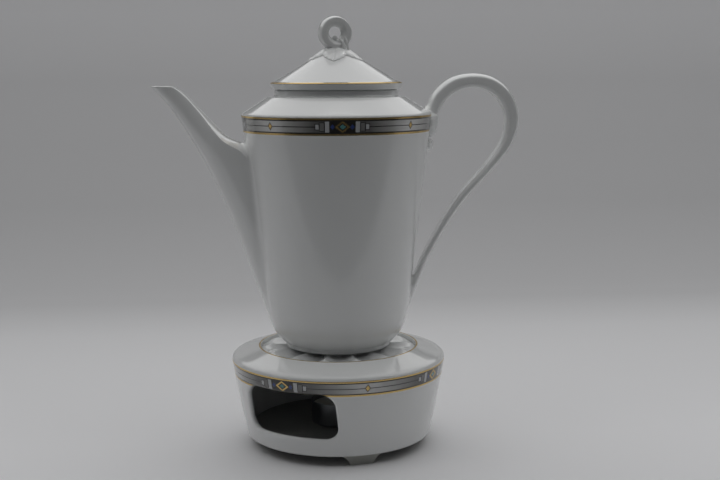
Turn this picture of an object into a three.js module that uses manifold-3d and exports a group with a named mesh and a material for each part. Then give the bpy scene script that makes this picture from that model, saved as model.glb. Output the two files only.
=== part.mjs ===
// Coffee pot on its tea-light warmer, in white glazed porcelain.
// Sizes are in millimetres, +Z is up, and the origin is on the table, on the axis that pot and warmer share.
// The spout points along -X and the handle along +X. Azimuths run from -Y towards +X, in degrees.

import * as THREE from 'three';
import { mergeVertices } from 'three/addons/utils/BufferGeometryUtils.js';
import Module from 'manifold-3d';

const wasm = await Module();
wasm.setup();

// Clearances
const GAP = 0.3; // between pieces that are luted or rest on each other
const LID_PLAY = 0.6; // between the lid's flange and the neck

// Warmer
const WARMER_R = 75.0; // at the band's upper line
const WARMER_BASE_R = 65.0; // where the side meets the bottom
const WARMER_BULGE = 0.8; // how far the side's curve is drawn out
const WARMER_WALL = 4.0;
const FEET_H = 7.0;
const FEET_COUNT = 3;
const FEET_TURN = 45; // first foot, from the window's middle
const FOOT_BAND = 5.6; // radial width of a foot
const FOOT_INSET = 4.5; // from the warmer's bottom edge to the foot
const FOOT_TOP_ARC = 28; // degrees
const FOOT_BOTTOM_ARC = 16; // degrees
const BASE_ROUND = 2.0;
const BAND_TOP_Z = 60.7;
const WARMER_EDGE_ROUND = 4.2;
const RECESS_R = 54.6; // the hollow that the pot stands in
const RIM_Z = 69.7;
const RIM_LAND = 1.2; // flat lip round the hollow
const RECESS_DEPTH = 2.4;
const STAR_LEDGE = 4.5; // ledge under the star plate
const FLOOR_LEDGE = 6.0; // ledge under the floor
const FLOOR_LEDGE_H = 2.6;
const FLOOR_T = 3.0;
const WARMER_TURN = -33.5; // azimuth of the window
const WINDOW_W = 66.6;
const WINDOW_LOW_Z = 19.9;
const WINDOW_HIGH_Z = 51.2;
const WINDOW_CORNER_R = 8.5;

// Fluted star that the pot stands on
const FLUTES = 12;
const FLUTE_STEPS = 6; // facets across one flute
const FLUTE_DEPTH_OUT = 2.6;
const FLUTE_DEPTH_IN = 4.0;
const STAR_UNDER = 2.4; // material under the deepest flute
const HEAT_HOLE_R = 21.0;

// Pot, with heights above its foot
const POT_FOOT_R = 36.4;
const POT_FOOT_BAND = 4.4;
const POT_FOOT_H = 2.6;
const POT_KEEL_R = 37.2; // where the rounded bottom leaves the foot ring
const POT_KEEL_H = 3.9;
const POT_BELLY_R = 49.4;
const POT_BELLY_H = 25.4;
const POT_BELLY_BEND_R = 47.2;
const POT_BELLY_BEND_H = 11.2;
const POT_EDGE_R = 65.6; // widest, at the shoulder's edge
const POT_EDGE_H = 163.4;
const POT_SHELF_R = 47.6; // inner end of the sloping shoulder
const POT_SHELF_H = 175.8;
const POT_NECK_R = 42.6;
const POT_NECK_H = 4.2;
const POT_WALL = 3.8;
const POT_FLOOR_T = 4.8;

// Spout
const SPOUT_REACH = 127.4; // tip from the axis
const SPOUT_FOOT_H = 28.8;
const SPOUT_MOUTH_H = 182.4;
const SPOUT_WALL = 2.4;
const SPOUT_HALF_WIDTHS = [7.0, 11.4, 13.4, 13.2, 10.4, 7.2, 5.4];
const SPOUT_SECTIONS = 15;
const SPOUT_SIDES = 16;
// Edge points as [share of the throw beyond the wall, share of the height from foot to mouth]
const SPOUT_LOWER_EDGE = [[0.0, 0.0], [0.075, 0.09], [0.2, 0.305], [0.356, 0.527],
  [0.543, 0.718], [0.783, 0.908], [0.932, 0.979], [1.098, 1.024]];
const SPOUT_UPPER_EDGE = [[-0.14, 0.02], [-0.14, 0.3], [-0.13, 0.52], [-0.06, 0.68],
  [0.209, 0.798], [0.435, 0.907], [0.615, 0.9875], [0.79, 1.07]];
const STRAINER_HOLE_R = 2.5;
const STRAINER_PITCH = 7.0;
const STRAINER_H = 70.5;

// Handle
const HANDLE_REACH = 127.4; // farthest point from the axis
const HANDLE_REACH_H = 156.8;
const HANDLE_FOOT_H = 28.6;
const HANDLE_TOP_H = 190.8;
const HANDLE_SECTIONS = 30;
const HANDLE_HALF_WIDTHS = [7.6, 8.2, 8.2, 7.8, 7.0, 6.6, 6.2, 5.6, 3.4];
const HANDLE_THICKNESSES = [9.0, 10.0, 10.8, 9.4, 8.2, 7.2, 6.8, 6.4, 5.0];
const HANDLE_CROWN = 2.3; // rise of the rounded outer face
// Middle of the outer face, as [share of the throw beyond the wall, share of the height from foot to top]
const HANDLE_OUTER_LINE = [[-0.13, 0.8], [-0.091, 0.874], [-0.015, 0.924], [0.117, 0.9735], [0.364, 1.0],
  [0.661, 0.981], [0.896, 0.896], [1.0, 0.79], [0.92, 0.665], [0.612, 0.51], [0.269, 0.3025],
  [0.109, 0.145], [0.03, 0.0]];

// Leaves at the handle's head
const UPPER_LEAF = { thick: 4.4, halfWidth: 15.0, top: 170.5, bottom: 147.6 };
const LOWER_LEAF = { thick: 3.0, halfWidth: 13.0, top: 147.0, bottom: 138.0 };

// Lid
const LID_RIM_R = 45.4;
const LID_RIM_H = 4.4;
const LID_UNDERCUT = 2.2; // how far the rim draws in below
const LID_CONE_DROP = 0.5865; // fall per millimetre of radius
const LID_EDGE_RISE = 1.6; // height of the rounded rim edge
const LID_EDGE_IN = 3.9; // width of the rounded rim edge
const LID_WALL = 3.4;
const LID_FLANGE_T = 3.0;
const LID_FLANGE_H = 10.0;
const LID_TURN = 15; // azimuth that the ring's open side faces
const VENT_R = 1.4;
const VENT_REACH = 26.0; // from the axis, behind the ring

// Ring finial
const RING_R = 11.6;
const RING_HOLE_R = 4.6;
const RING_W = 11.0;
const RING_CROWN = 1.2;
const RING_INNER_ROUND = 2.6;
const RING_SINK = 4.0; // how far the ring's lowest point would reach below the cone's tip
const RING_OFFSET = -0.7;
const STEM_R = 6.2;
const STEM_FLARE_R = 8.2;
const STEM_H = 5.2;
const BUD_R = 2.9;
const BUD_H = 3.4;

// Leaves on the lid
const LID_LEAVES = 5;
const LID_LEAF_TURN = -23;
const LID_LEAF_IN = 5.0;
const LID_LEAF_OUT = 19.0;
const LID_LEAF_HALF_W = 6.0;
const LID_LEAF_T = 1.3;

// Tea light
const CUP_R = 19.2;
const CUP_H = 16.0;
const CUP_WALL = 0.5;
const CUP_RIM = 0.5; // rolled edge outside the cup
const WAX_H = 12.6;
const WICK_R = 0.8;
const WICK_H = 17.5;
const WICK_PLAY = 0.35;
const SUSTAINER_R = 7.0;
const SUSTAINER_T = 0.5;
const SUSTAINER_COLLAR_R = 1.9;
const SUSTAINER_COLLAR_H = 3.2;

// Facets
const ROUND = 56; // facets round pot and warmer
const ROUND_SMALL = 28; // facets round small pieces
const CURVE_STEPS = 6; // facets along one bend of a profile

// Heights that follow from the sizes above
const RIDGE_Z = RIM_Z - RECESS_DEPTH;
const POT_Z = RIDGE_Z + GAP;
const POT_MOUTH_Z = POT_Z + POT_SHELF_H + POT_NECK_H + 0.6;
const LID_Z = POT_MOUTH_Z + GAP;
const CONE_TIP_Z = LID_Z + LID_RIM_H + LID_EDGE_RISE + (LID_RIM_R - LID_EDGE_IN) * LID_CONE_DROP;
const RING_Z = CONE_TIP_Z - RING_SINK + RING_R;
const FLOOR_Z = FEET_H + FLOOR_LEDGE_H + GAP;
const CUP_Z = FLOOR_Z + FLOOR_T + GAP;
const STAR_T = FLUTE_DEPTH_IN + STAR_UNDER;

const PORCELAIN = { color: 0xe9ebea, roughness: 0.12, metalness: 0 };
const BISCUIT = { color: 0xd9d7d0, roughness: 0.6, metalness: 0 };
const ALUMINIUM = { color: 0xb9bcc0, roughness: 0.35, metalness: 1 };
const WAX = { color: 0xf0ece0, roughness: 0.5, metalness: 0 };
const COTTON = { color: 0xe8e2d2, roughness: 0.9, metalness: 0 };

// Helpers

const radians = (degrees) => (degrees * Math.PI) / 180;

// Points of a profile drawn with a THREE.Path in the plane of radius and height.
function profile(draw, bendSteps = CURVE_STEPS) {
  const path = new THREE.Path();
  draw(path);
  return path.getPoints(bendSteps);
}

// One closed mesh with shared corners and no collapsed triangles.
function closed(geometry) {
  geometry.deleteAttribute('uv');
  geometry.deleteAttribute('normal');
  const welded = mergeVertices(geometry, 1e-4);
  const kept = [];
  const index = welded.index.array;
  for (let i = 0; i < index.length; i += 3) {
    const [a, b, c] = [index[i], index[i + 1], index[i + 2]];
    if (a !== b && b !== c && c !== a) kept.push(a, b, c);
  }
  welded.setIndex(kept);
  welded.computeVertexNormals();
  return welded;
}

// A solid of revolution about Z from points [radius, height], running outside upwards.
function revolve(points, steps = ROUND) {
  const geometry = new THREE.LatheGeometry(points, steps);
  return closed(geometry.rotateX(Math.PI / 2));
}

// A solid through closed rings of points, with flat ends.
function loft(rings) {
  const positions = [];
  const index = [];
  const sides = rings[0].length;
  for (const ring of rings) ring.forEach((p) => positions.push(p.x, p.y, p.z));
  for (let r = 0; r + 1 < rings.length; r++) {
    for (let k = 0; k < sides; k++) {
      const [a, b] = [r * sides + k, r * sides + ((k + 1) % sides)];
      index.push(a, b, b + sides, a, b + sides, a + sides);
    }
  }
  const last = (rings.length - 1) * sides;
  for (let k = 1; k + 1 < sides; k++) {
    index.push(0, k + 1, k);
    index.push(last, last + k, last + k + 1);
  }
  const geometry = new THREE.BufferGeometry();
  geometry.setAttribute('position', new THREE.Float32BufferAttribute(positions, 3));
  geometry.setIndex(index);
  return closed(geometry);
}

function toManifold(geometry) {
  const mesh = closed(geometry.clone());
  const vertProperties = new Float32Array(mesh.attributes.position.array);
  const triVerts = new Uint32Array(mesh.index.array);
  return new wasm.Manifold(new wasm.Mesh({ numProp: 3, vertProperties, triVerts }));
}

function fromManifold(solid) {
  const mesh = solid.getMesh();
  const geometry = new THREE.BufferGeometry();
  geometry.setAttribute('position', new THREE.Float32BufferAttribute(mesh.vertProperties, 3));
  geometry.setIndex(Array.from(mesh.triVerts));
  return closed(geometry);
}

const cut = (body, ...tools) => fromManifold(
  tools.reduce((solid, tool) => solid.subtract(toManifold(tool)), toManifold(body)));

const join = (...bodies) => fromManifold(
  bodies.map(toManifold).reduce((solid, body) => solid.add(body)));

const common = (...bodies) => fromManifold(
  bodies.map(toManifold).reduce((solid, body) => solid.intersect(body)));

// Values of a list read at a share of its length, with smooth steps between them.
function along(values, share) {
  const line = new THREE.SplineCurve(values.map((v, i) => new THREE.Vector2(i, v)));
  return line.getPoint(share).y;
}

// A profile moved outwards by d, with mitred corners. Its ends stay on their radius.
function offset(points, d) {
  return points.map((p, i) => {
    const before = points[Math.max(i - 1, 0)];
    const after = points[Math.min(i + 1, points.length - 1)];
    const [n1, n2] = [[before, p], [p, after]].map(([a, b]) => {
      const t = new THREE.Vector2().subVectors(b, a);
      return new THREE.Vector2(t.y, -t.x).normalize();
    });
    const normal = n1.lengthSq() === 0 ? n2 : n2.lengthSq() === 0 ? n1 : n1.clone().add(n2).normalize();
    const stretch = Math.max(normal.dot(n2.lengthSq() === 0 ? n1 : n2), 0.5);
    return new THREE.Vector2(Math.max(p.x + (normal.x * d) / stretch, 0), p.y + (normal.y * d) / stretch);
  });
}

function turned(geometry, azimuth) {
  return geometry.rotateZ(radians(azimuth));
}

// Warmer

function warmerSideLine(path) {
  path.lineTo(WARMER_BASE_R - BASE_ROUND, FEET_H);
  path.quadraticCurveTo(WARMER_BASE_R, FEET_H, WARMER_BASE_R + 0.3, FEET_H + BASE_ROUND);
  const midR = (WARMER_BASE_R + WARMER_R) / 2 + WARMER_BULGE;
  path.quadraticCurveTo(midR, (FEET_H + BAND_TOP_Z) / 2, WARMER_R, BAND_TOP_Z);
  const roundZ = BAND_TOP_Z + WARMER_EDGE_ROUND * 0.9;
  path.quadraticCurveTo(WARMER_R + 0.1, roundZ, WARMER_R - WARMER_EDGE_ROUND, roundZ + 0.6);
  path.lineTo(RECESS_R + RIM_LAND, RIM_Z);
  path.lineTo(RECESS_R, RIM_Z);
}

function warmerWall() {
  const ledgeZ = RIDGE_Z - STAR_T - GAP;
  const points = profile((path) => {
    path.moveTo(WARMER_BASE_R - WARMER_WALL - FLOOR_LEDGE, FEET_H);
    warmerSideLine(path);
    path.lineTo(RECESS_R, ledgeZ);
    path.lineTo(RECESS_R - STAR_LEDGE, ledgeZ);
    path.lineTo(RECESS_R - STAR_LEDGE, ledgeZ - WARMER_WALL);
    path.lineTo(WARMER_R - 3 * WARMER_WALL, ledgeZ - WARMER_WALL);
    path.lineTo(WARMER_R - WARMER_WALL - 1, ledgeZ - 3 * WARMER_WALL);
    path.lineTo(WARMER_BASE_R - WARMER_WALL, FEET_H + FLOOR_LEDGE_H);
    path.lineTo(WARMER_BASE_R - WARMER_WALL - FLOOR_LEDGE, FEET_H + FLOOR_LEDGE_H);
    path.lineTo(WARMER_BASE_R - WARMER_WALL - FLOOR_LEDGE, FEET_H);
  }, 5);
  return cut(revolve(points), turned(windowCutter(), WARMER_TURN));
}

// A prism through the wall, its outline a rectangle with round corners.
function windowCutter() {
  const [w, h, r] = [WINDOW_W / 2, WINDOW_HIGH_Z - WINDOW_LOW_Z, WINDOW_CORNER_R];
  const shape = new THREE.Shape();
  shape.moveTo(-w + r, 0);
  shape.lineTo(w - r, 0);
  shape.absarc(w - r, r, r, -Math.PI / 2, 0);
  shape.absarc(w - r, h - r, r, 0, Math.PI / 2);
  shape.absarc(-w + r, h - r, r, Math.PI / 2, Math.PI);
  shape.absarc(-w + r, r, r, Math.PI, 1.5 * Math.PI);
  const depth = WARMER_R;
  const prism = new THREE.ExtrudeGeometry(shape, { depth, bevelEnabled: false, curveSegments: CURVE_STEPS });
  prism.rotateX(Math.PI / 2);
  return prism.translate(0, -RECESS_R / 2, WINDOW_LOW_Z);
}

function warmerFloor() {
  const r = WARMER_BASE_R - WARMER_WALL - GAP;
  return revolve(profile((path) => {
    path.moveTo(0, FLOOR_Z);
    path.lineTo(r, FLOOR_Z);
    path.lineTo(r, FLOOR_Z + FLOOR_T);
    path.lineTo(0, FLOOR_Z + FLOOR_T);
  }), ROUND_SMALL);
}

// A short piece of ring whose ends slope in towards the table.
function warmerFoot() {
  const outer = WARMER_BASE_R - FOOT_INSET;
  const steps = 5;
  const ring = (z, arc) => {
    const points = [];
    for (const [radius, way] of [[outer, 1], [outer - FOOT_BAND, -1]]) {
      for (let i = 0; i <= steps; i++) {
        const a = radians(way * arc * (i / steps - 0.5));
        points.push(new THREE.Vector3(radius * Math.sin(a), -radius * Math.cos(a), z));
      }
    }
    return points;
  };
  return loft([ring(0, FOOT_BOTTOM_ARC), ring(FEET_H - GAP, FOOT_TOP_ARC)]);
}

// Height of the star's surface: sharp ridges, and hollow flutes that deepen towards the heat hole.
function starHeight(radius, step) {
  const across = (2 * (step % FLUTE_STEPS)) / FLUTE_STEPS - 1;
  const inward = (RECESS_R - radius) / (RECESS_R - HEAT_HOLE_R);
  const depth = FLUTE_DEPTH_OUT + (FLUTE_DEPTH_IN - FLUTE_DEPTH_OUT) * inward;
  return RIDGE_Z - depth * (1 - across * across);
}

function warmerStar() {
  const outer = RECESS_R - GAP;
  const under = RIDGE_Z - STAR_T;
  const radii = [outer, 46, 38, 30, HEAT_HOLE_R];
  const steps = FLUTES * FLUTE_STEPS;
  const positions = [];
  const index = [];
  for (let s = 0; s < steps; s++) {
    const a = radians((360 * (s - FLUTE_STEPS / 2)) / steps + WARMER_TURN);
    const section = radii.map((r) => [r, starHeight(r, s)]);
    section.push([HEAT_HOLE_R, under], [outer, under]);
    for (const [r, z] of section) positions.push(r * Math.sin(a), -r * Math.cos(a), z);
  }
  const count = radii.length + 2;
  for (let s = 0; s < steps; s++) {
    for (let k = 0; k < count; k++) {
      const [a, b] = [s * count + k, s * count + ((k + 1) % count)];
      const [c, d] = [a, b].map((v) => (v + count) % (steps * count));
      index.push(a, c, d, a, d, b);
    }
  }
  const geometry = new THREE.BufferGeometry();
  geometry.setAttribute('position', new THREE.Float32BufferAttribute(positions, 3));
  geometry.setIndex(index);
  return closed(geometry);
}

// Pot

// Radius of the pot's straight side, drawn on above and below it.
function wallRadius(height) {
  const slope = (POT_EDGE_R - POT_BELLY_R) / (POT_EDGE_H - POT_BELLY_H);
  return POT_BELLY_R + (height - POT_BELLY_H) * slope;
}

// The pot's outside, from the middle of its bottom up to the middle of its mouth.
function potOutside() {
  return profile((path) => {
    path.moveTo(0, POT_Z);
    path.lineTo(POT_FOOT_R, POT_Z);
    path.lineTo(POT_KEEL_R, POT_Z + POT_KEEL_H);
    path.quadraticCurveTo(POT_BELLY_BEND_R, POT_Z + POT_BELLY_BEND_H, POT_BELLY_R, POT_Z + POT_BELLY_H);
    path.lineTo(POT_EDGE_R, POT_Z + POT_EDGE_H);
    path.lineTo(POT_SHELF_R, POT_Z + POT_SHELF_H);
    path.lineTo(POT_NECK_R, POT_Z + POT_SHELF_H + 0.6);
    path.lineTo(POT_NECK_R, POT_MOUTH_Z);
    path.lineTo(0, POT_MOUTH_Z);
  });
}

// The pot as a solid, grown all round by d.
const grownPot = (d) => revolve(offset(potOutside(), d));

function potBody() {
  const w = POT_WALL;
  const outside = potOutside();
  const floorZ = POT_Z + POT_FOOT_H + POT_FLOOR_T;
  const hollow = profile((path) => {
    path.moveTo(0, floorZ);
    path.lineTo(POT_KEEL_R - w, floorZ);
    path.quadraticCurveTo(POT_BELLY_BEND_R - w, POT_Z + POT_BELLY_BEND_H + w / 2,
      POT_BELLY_R - w, POT_Z + POT_BELLY_H + w / 2);
    path.lineTo(wallRadius(POT_EDGE_H - w) - w, POT_Z + POT_EDGE_H - w);
    path.lineTo(POT_SHELF_R - w, POT_Z + POT_SHELF_H - w);
    path.lineTo(POT_NECK_R - w, POT_Z + POT_SHELF_H - w + 1);
    path.lineTo(POT_NECK_R - w, POT_MOUTH_Z + w);
    path.lineTo(0, POT_MOUTH_Z + w);
  });
  const underside = profile((path) => {
    const r = POT_FOOT_R - POT_FOOT_BAND;
    path.moveTo(0, POT_Z - w);
    path.lineTo(r + 1, POT_Z - w);
    path.lineTo(r, POT_Z + POT_FOOT_H);
    path.lineTo(0, POT_Z + POT_FOOT_H);
  });
  return cut(revolve(outside), revolve(hollow), revolve(underside), ...strainerHoles());
}

// Seven holes through the wall behind the spout, in rows of two, three and two.
function strainerHoles() {
  const holes = [];
  const length = 2 * POT_WALL + STRAINER_PITCH;
  for (const [row, count] of [[-1, 2], [0, 3], [1, 2]]) {
    for (let i = 0; i < count; i++) {
      const hole = new THREE.CylinderGeometry(STRAINER_HOLE_R, STRAINER_HOLE_R, length, 10);
      hole.rotateZ(Math.PI / 2);
      const height = STRAINER_H + row * STRAINER_PITCH;
      holes.push(hole.translate(-wallRadius(height), (i - (count - 1) / 2) * STRAINER_PITCH, POT_Z + height));
    }
  }
  return holes;
}

// A curve in the plane of spout and handle, from points given as shares of throw and height.
function edgeLine(points, foot, top, throwOut) {
  return new THREE.SplineCurve(points.map(([out, up]) => {
    const height = foot + up * (top - foot);
    return new THREE.Vector2(wallRadius(height) + out * throwOut, POT_Z + height);
  }));
}

// One ring of the spout: round below and squarer above, drawn in by inset.
function spoutRing(lower, upper, halfWidth, inset) {
  const span = new THREE.Vector2().subVectors(upper, lower);
  const half = span.length() / 2 - inset;
  const middle = new THREE.Vector2().addVectors(upper, lower).multiplyScalar(0.5);
  const rise = span.normalize().multiplyScalar(half);
  const ring = [];
  for (let k = 0; k < SPOUT_SIDES; k++) {
    const a = (2 * Math.PI * (k + 0.5)) / SPOUT_SIDES;
    const power = Math.sin(a) > 0 ? 0.5 : 1;
    const side = Math.sign(Math.cos(a)) * Math.abs(Math.cos(a)) ** power * (halfWidth - inset);
    const up = Math.sign(Math.sin(a)) * Math.abs(Math.sin(a)) ** power;
    ring.push(new THREE.Vector3(-(middle.x + rise.x * up), -side, middle.y + rise.y * up));
  }
  return ring;
}

function spoutLoft(inset) {
  const throwOut = SPOUT_REACH - wallRadius(SPOUT_MOUTH_H);
  const lower = edgeLine(SPOUT_LOWER_EDGE, SPOUT_FOOT_H, SPOUT_MOUTH_H, throwOut);
  const upper = edgeLine(SPOUT_UPPER_EDGE, SPOUT_FOOT_H, SPOUT_MOUTH_H, throwOut);
  const rings = [];
  for (let i = 0; i < SPOUT_SECTIONS; i++) {
    const t = i / (SPOUT_SECTIONS - 1);
    rings.push(spoutRing(lower.getPoint(t), upper.getPoint(t), along(SPOUT_HALF_WIDTHS, t), inset));
  }
  return loft(rings);
}

function potSpout() {
  const above = new THREE.BoxGeometry(2 * SPOUT_REACH, 60, 40);
  above.translate(-SPOUT_REACH, 0, POT_Z + SPOUT_MOUTH_H + 20);
  return cut(spoutLoft(0), spoutLoft(SPOUT_WALL), grownPot(GAP), above);
}

// One ring of the handle: a crowned outer face, flat sides and soft inner edges.
function handleRing(at, outward, halfWidth, thickness) {
  const inner = Math.min(2.2, thickness / 3);
  const section = [];
  for (let k = -3; k <= 3; k++) section.push([(halfWidth * k) / 3, -HANDLE_CROWN * (k / 3) ** 2]);
  section.push([halfWidth, inner - thickness], [halfWidth - inner, -thickness]);
  section.push([inner - halfWidth, -thickness], [-halfWidth, inner - thickness]);
  return section.map(([side, out]) => new THREE.Vector3(at.x + outward.x * out, -side, at.y + outward.y * out));
}

function handleLoft() {
  const throwOut = HANDLE_REACH - wallRadius(HANDLE_REACH_H);
  const line = edgeLine(HANDLE_OUTER_LINE, HANDLE_FOOT_H, HANDLE_TOP_H, throwOut);
  const rings = [];
  for (let i = 0; i < HANDLE_SECTIONS; i++) {
    const t = i / (HANDLE_SECTIONS - 1);
    const tangent = line.getTangent(t);
    const outward = new THREE.Vector2(-tangent.y, tangent.x);
    rings.push(handleRing(line.getPoint(t), outward, along(HANDLE_HALF_WIDTHS, t), along(HANDLE_THICKNESSES, t)));
  }
  return loft(rings);
}

// A leaf pressed on the pot: part of a skin over its outside, within a leaf's outline.
function handleLeaf(leaf, extra = 0) {
  const [w, top, bottom] = [leaf.halfWidth + extra, leaf.top + extra, leaf.bottom - extra];
  const shape = new THREE.Shape();
  shape.moveTo(-w * 0.55, POT_Z + top);
  shape.bezierCurveTo(-w * 1.15, POT_Z + top * 0.7 + bottom * 0.3, -w, POT_Z + bottom, 0, POT_Z + bottom);
  shape.bezierCurveTo(w, POT_Z + bottom, w * 1.15, POT_Z + top * 0.7 + bottom * 0.3, w * 0.55, POT_Z + top);
  const prism = new THREE.ExtrudeGeometry(shape, { depth: POT_EDGE_R, bevelEnabled: false, curveSegments: 8 });
  prism.rotateX(Math.PI / 2).rotateZ(Math.PI / 2);
  prism.translate(POT_EDGE_R / 2, 0, 0);
  const skin = cut(grownPot(GAP + leaf.thick + extra), grownPot(GAP - Math.min(extra, GAP / 2)));
  return common(skin, prism);
}

function potHandle() {
  const rests = handleLeaf(UPPER_LEAF, GAP);
  return cut(handleLoft(), grownPot(GAP), rests);
}

// Lid

function lidCone(d = 0) {
  const edgeZ = LID_Z + LID_RIM_H;
  return profile((path) => {
    path.moveTo(0, LID_Z);
    path.lineTo(LID_RIM_R - LID_UNDERCUT, LID_Z);
    path.lineTo(LID_RIM_R, edgeZ);
    path.quadraticCurveTo(LID_RIM_R, edgeZ + LID_EDGE_RISE * 0.5,
      LID_RIM_R - LID_EDGE_IN, edgeZ + LID_EDGE_RISE + d);
    path.lineTo(0, CONE_TIP_Z + d / Math.cos(Math.atan(LID_CONE_DROP)));
  });
}

function lidBody() {
  const flangeR = POT_NECK_R - POT_WALL - LID_PLAY;
  const flange = profile((path) => {
    path.moveTo(0, LID_Z - LID_FLANGE_H);
    path.lineTo(flangeR - 0.8, LID_Z - LID_FLANGE_H);
    path.lineTo(flangeR, LID_Z - LID_FLANGE_H + 1.5);
    path.lineTo(flangeR, LID_Z + 1);
    path.lineTo(0, LID_Z + 1);
  });
  const hollowR = flangeR - LID_FLANGE_T;
  const underZ = CONE_TIP_Z - LID_WALL / Math.cos(Math.atan(LID_CONE_DROP));
  const hollow = profile((path) => {
    path.moveTo(0, LID_Z - LID_FLANGE_H - 1);
    path.lineTo(hollowR, LID_Z - LID_FLANGE_H - 1);
    path.lineTo(hollowR, underZ - hollowR * LID_CONE_DROP);
    path.lineTo(STEM_R, underZ - STEM_R * LID_CONE_DROP);
    path.lineTo(0, underZ - STEM_R * LID_CONE_DROP);
  });
  const vent = new THREE.CylinderGeometry(VENT_R, VENT_R, 4 * LID_WALL, 8);
  vent.rotateX(Math.PI / 2);
  vent.translate(0, VENT_REACH, CONE_TIP_Z - VENT_REACH * LID_CONE_DROP - LID_WALL / 2);
  return cut(join(revolve(lidCone()), revolve(flange)), revolve(hollow), turned(vent, LID_TURN));
}

// The finial's ring about its own axis, grown by d.
function ring(d = 0) {
  const [outer, hole, half] = [RING_R + d, RING_HOLE_R - d, RING_W / 2 + d];
  const points = profile((path) => {
    path.moveTo(outer - RING_CROWN, -half);
    path.quadraticCurveTo(outer + RING_CROWN, 0, outer - RING_CROWN, half);
    path.lineTo(hole + RING_INNER_ROUND, half);
    path.quadraticCurveTo(hole - RING_INNER_ROUND, 0, hole + RING_INNER_ROUND, -half);
    path.lineTo(outer - RING_CROWN, -half);
  }, 4);
  const geometry = closed(new THREE.LatheGeometry(points, 32));
  return geometry.translate(RING_OFFSET, 0, RING_Z);
}

function stem() {
  return revolve(profile((path) => {
    path.moveTo(0, CONE_TIP_Z - STEM_H);
    path.lineTo(STEM_FLARE_R, CONE_TIP_Z - STEM_H);
    path.quadraticCurveTo(STEM_R, CONE_TIP_Z - STEM_H + 1, STEM_R, CONE_TIP_Z);
    path.lineTo(0, CONE_TIP_Z);
  }, 4), ROUND_SMALL);
}

function lidRing() {
  const hole = new THREE.CylinderGeometry(RING_HOLE_R, RING_HOLE_R, 2 * RING_W, ROUND_SMALL);
  hole.translate(RING_OFFSET, 0, RING_Z);
  const finial = cut(join(ring(), cut(stem(), hole)), revolve(lidCone(GAP)));
  return turned(finial, LID_TURN);
}

function lidBud() {
  const bud = new THREE.SphereGeometry(BUD_R, 12, 6);
  bud.scale(1, 1.3, BUD_H / BUD_R);
  bud.translate(RING_OFFSET, 0, RING_Z - RING_HOLE_R);
  return turned(cut(bud, ring(GAP)), LID_TURN);
}

// A low pointed leaf on the cone.
function lidLeaf(number) {
  const [near, far, w] = [LID_LEAF_IN, LID_LEAF_OUT, LID_LEAF_HALF_W];
  const shape = new THREE.Shape();
  shape.moveTo(0, near);
  shape.bezierCurveTo(w * 1.2, near + 1, w * 1.1, (near + far) / 2, 0, far);
  shape.bezierCurveTo(-w * 1.1, (near + far) / 2, -w * 1.2, near + 1, 0, near);
  const prism = new THREE.ExtrudeGeometry(shape, { depth: 30, bevelEnabled: false, curveSegments: 6 });
  prism.rotateZ(Math.PI).translate(0, 0, CONE_TIP_Z - 20);
  const azimuth = LID_LEAF_TURN + (360 * number) / LID_LEAVES;
  const skin = cut(revolve(lidCone(GAP + LID_LEAF_T)), revolve(lidCone(GAP)));
  const leaf = common(skin, turned(prism, azimuth));
  const rest = revolve(profile((path) => {
    path.moveTo(0, CONE_TIP_Z - 2 * STEM_H);
    path.lineTo(STEM_FLARE_R, CONE_TIP_Z - 2 * STEM_H);
    path.lineTo(STEM_R + GAP, CONE_TIP_Z);
    path.lineTo(0, CONE_TIP_Z);
  }), ROUND_SMALL);
  return turned(cut(leaf, rest, ring(GAP)), LID_TURN);
}

// Tea light

function tealightCup() {
  return revolve(profile((path) => {
    path.moveTo(0, CUP_Z);
    path.lineTo(CUP_R - 0.8, CUP_Z);
    path.lineTo(CUP_R, CUP_Z + 0.8);
    path.lineTo(CUP_R, CUP_Z + CUP_H - CUP_RIM);
    path.lineTo(CUP_R + CUP_RIM, CUP_Z + CUP_H - CUP_RIM);
    path.lineTo(CUP_R + CUP_RIM, CUP_Z + CUP_H);
    path.lineTo(CUP_R - CUP_WALL, CUP_Z + CUP_H);
    path.lineTo(CUP_R - CUP_WALL, CUP_Z + CUP_WALL);
    path.lineTo(0, CUP_Z + CUP_WALL);
  }), ROUND_SMALL);
}

function tealightWax() {
  const low = CUP_Z + CUP_WALL + GAP;
  const [bore, socketR] = [SUSTAINER_COLLAR_R + GAP, SUSTAINER_R + GAP];
  const collarTop = low + SUSTAINER_COLLAR_H + GAP;
  return revolve(profile((path) => {
    path.moveTo(socketR, low);
    path.lineTo(CUP_R - CUP_WALL - GAP, low);
    path.lineTo(CUP_R - CUP_WALL - GAP, CUP_Z + WAX_H);
    path.lineTo(WICK_R + WICK_PLAY, CUP_Z + WAX_H);
    path.lineTo(WICK_R + WICK_PLAY, collarTop);
    path.lineTo(bore, collarTop);
    path.lineTo(bore, low + SUSTAINER_T + GAP);
    path.lineTo(socketR, low + SUSTAINER_T + GAP);
    path.lineTo(socketR, low);
  }), ROUND_SMALL);
}

function wickSustainer() {
  const low = CUP_Z + CUP_WALL + GAP;
  const hole = WICK_R + WICK_PLAY;
  return revolve(profile((path) => {
    path.moveTo(hole, low);
    path.lineTo(SUSTAINER_R, low);
    path.lineTo(SUSTAINER_R, low + SUSTAINER_T);
    path.lineTo(SUSTAINER_COLLAR_R, low + SUSTAINER_T);
    path.lineTo(SUSTAINER_COLLAR_R, low + SUSTAINER_COLLAR_H);
    path.lineTo(hole, low + SUSTAINER_COLLAR_H);
    path.lineTo(hole, low);
  }), 16);
}

function wick() {
  const low = CUP_Z + CUP_WALL + GAP;
  const high = CUP_Z + WICK_H;
  const geometry = new THREE.CylinderGeometry(WICK_R, WICK_R, high - low, 8);
  geometry.rotateX(Math.PI / 2);
  return closed(geometry.translate(0, 0, (low + high) / 2));
}

// Assembly

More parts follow.
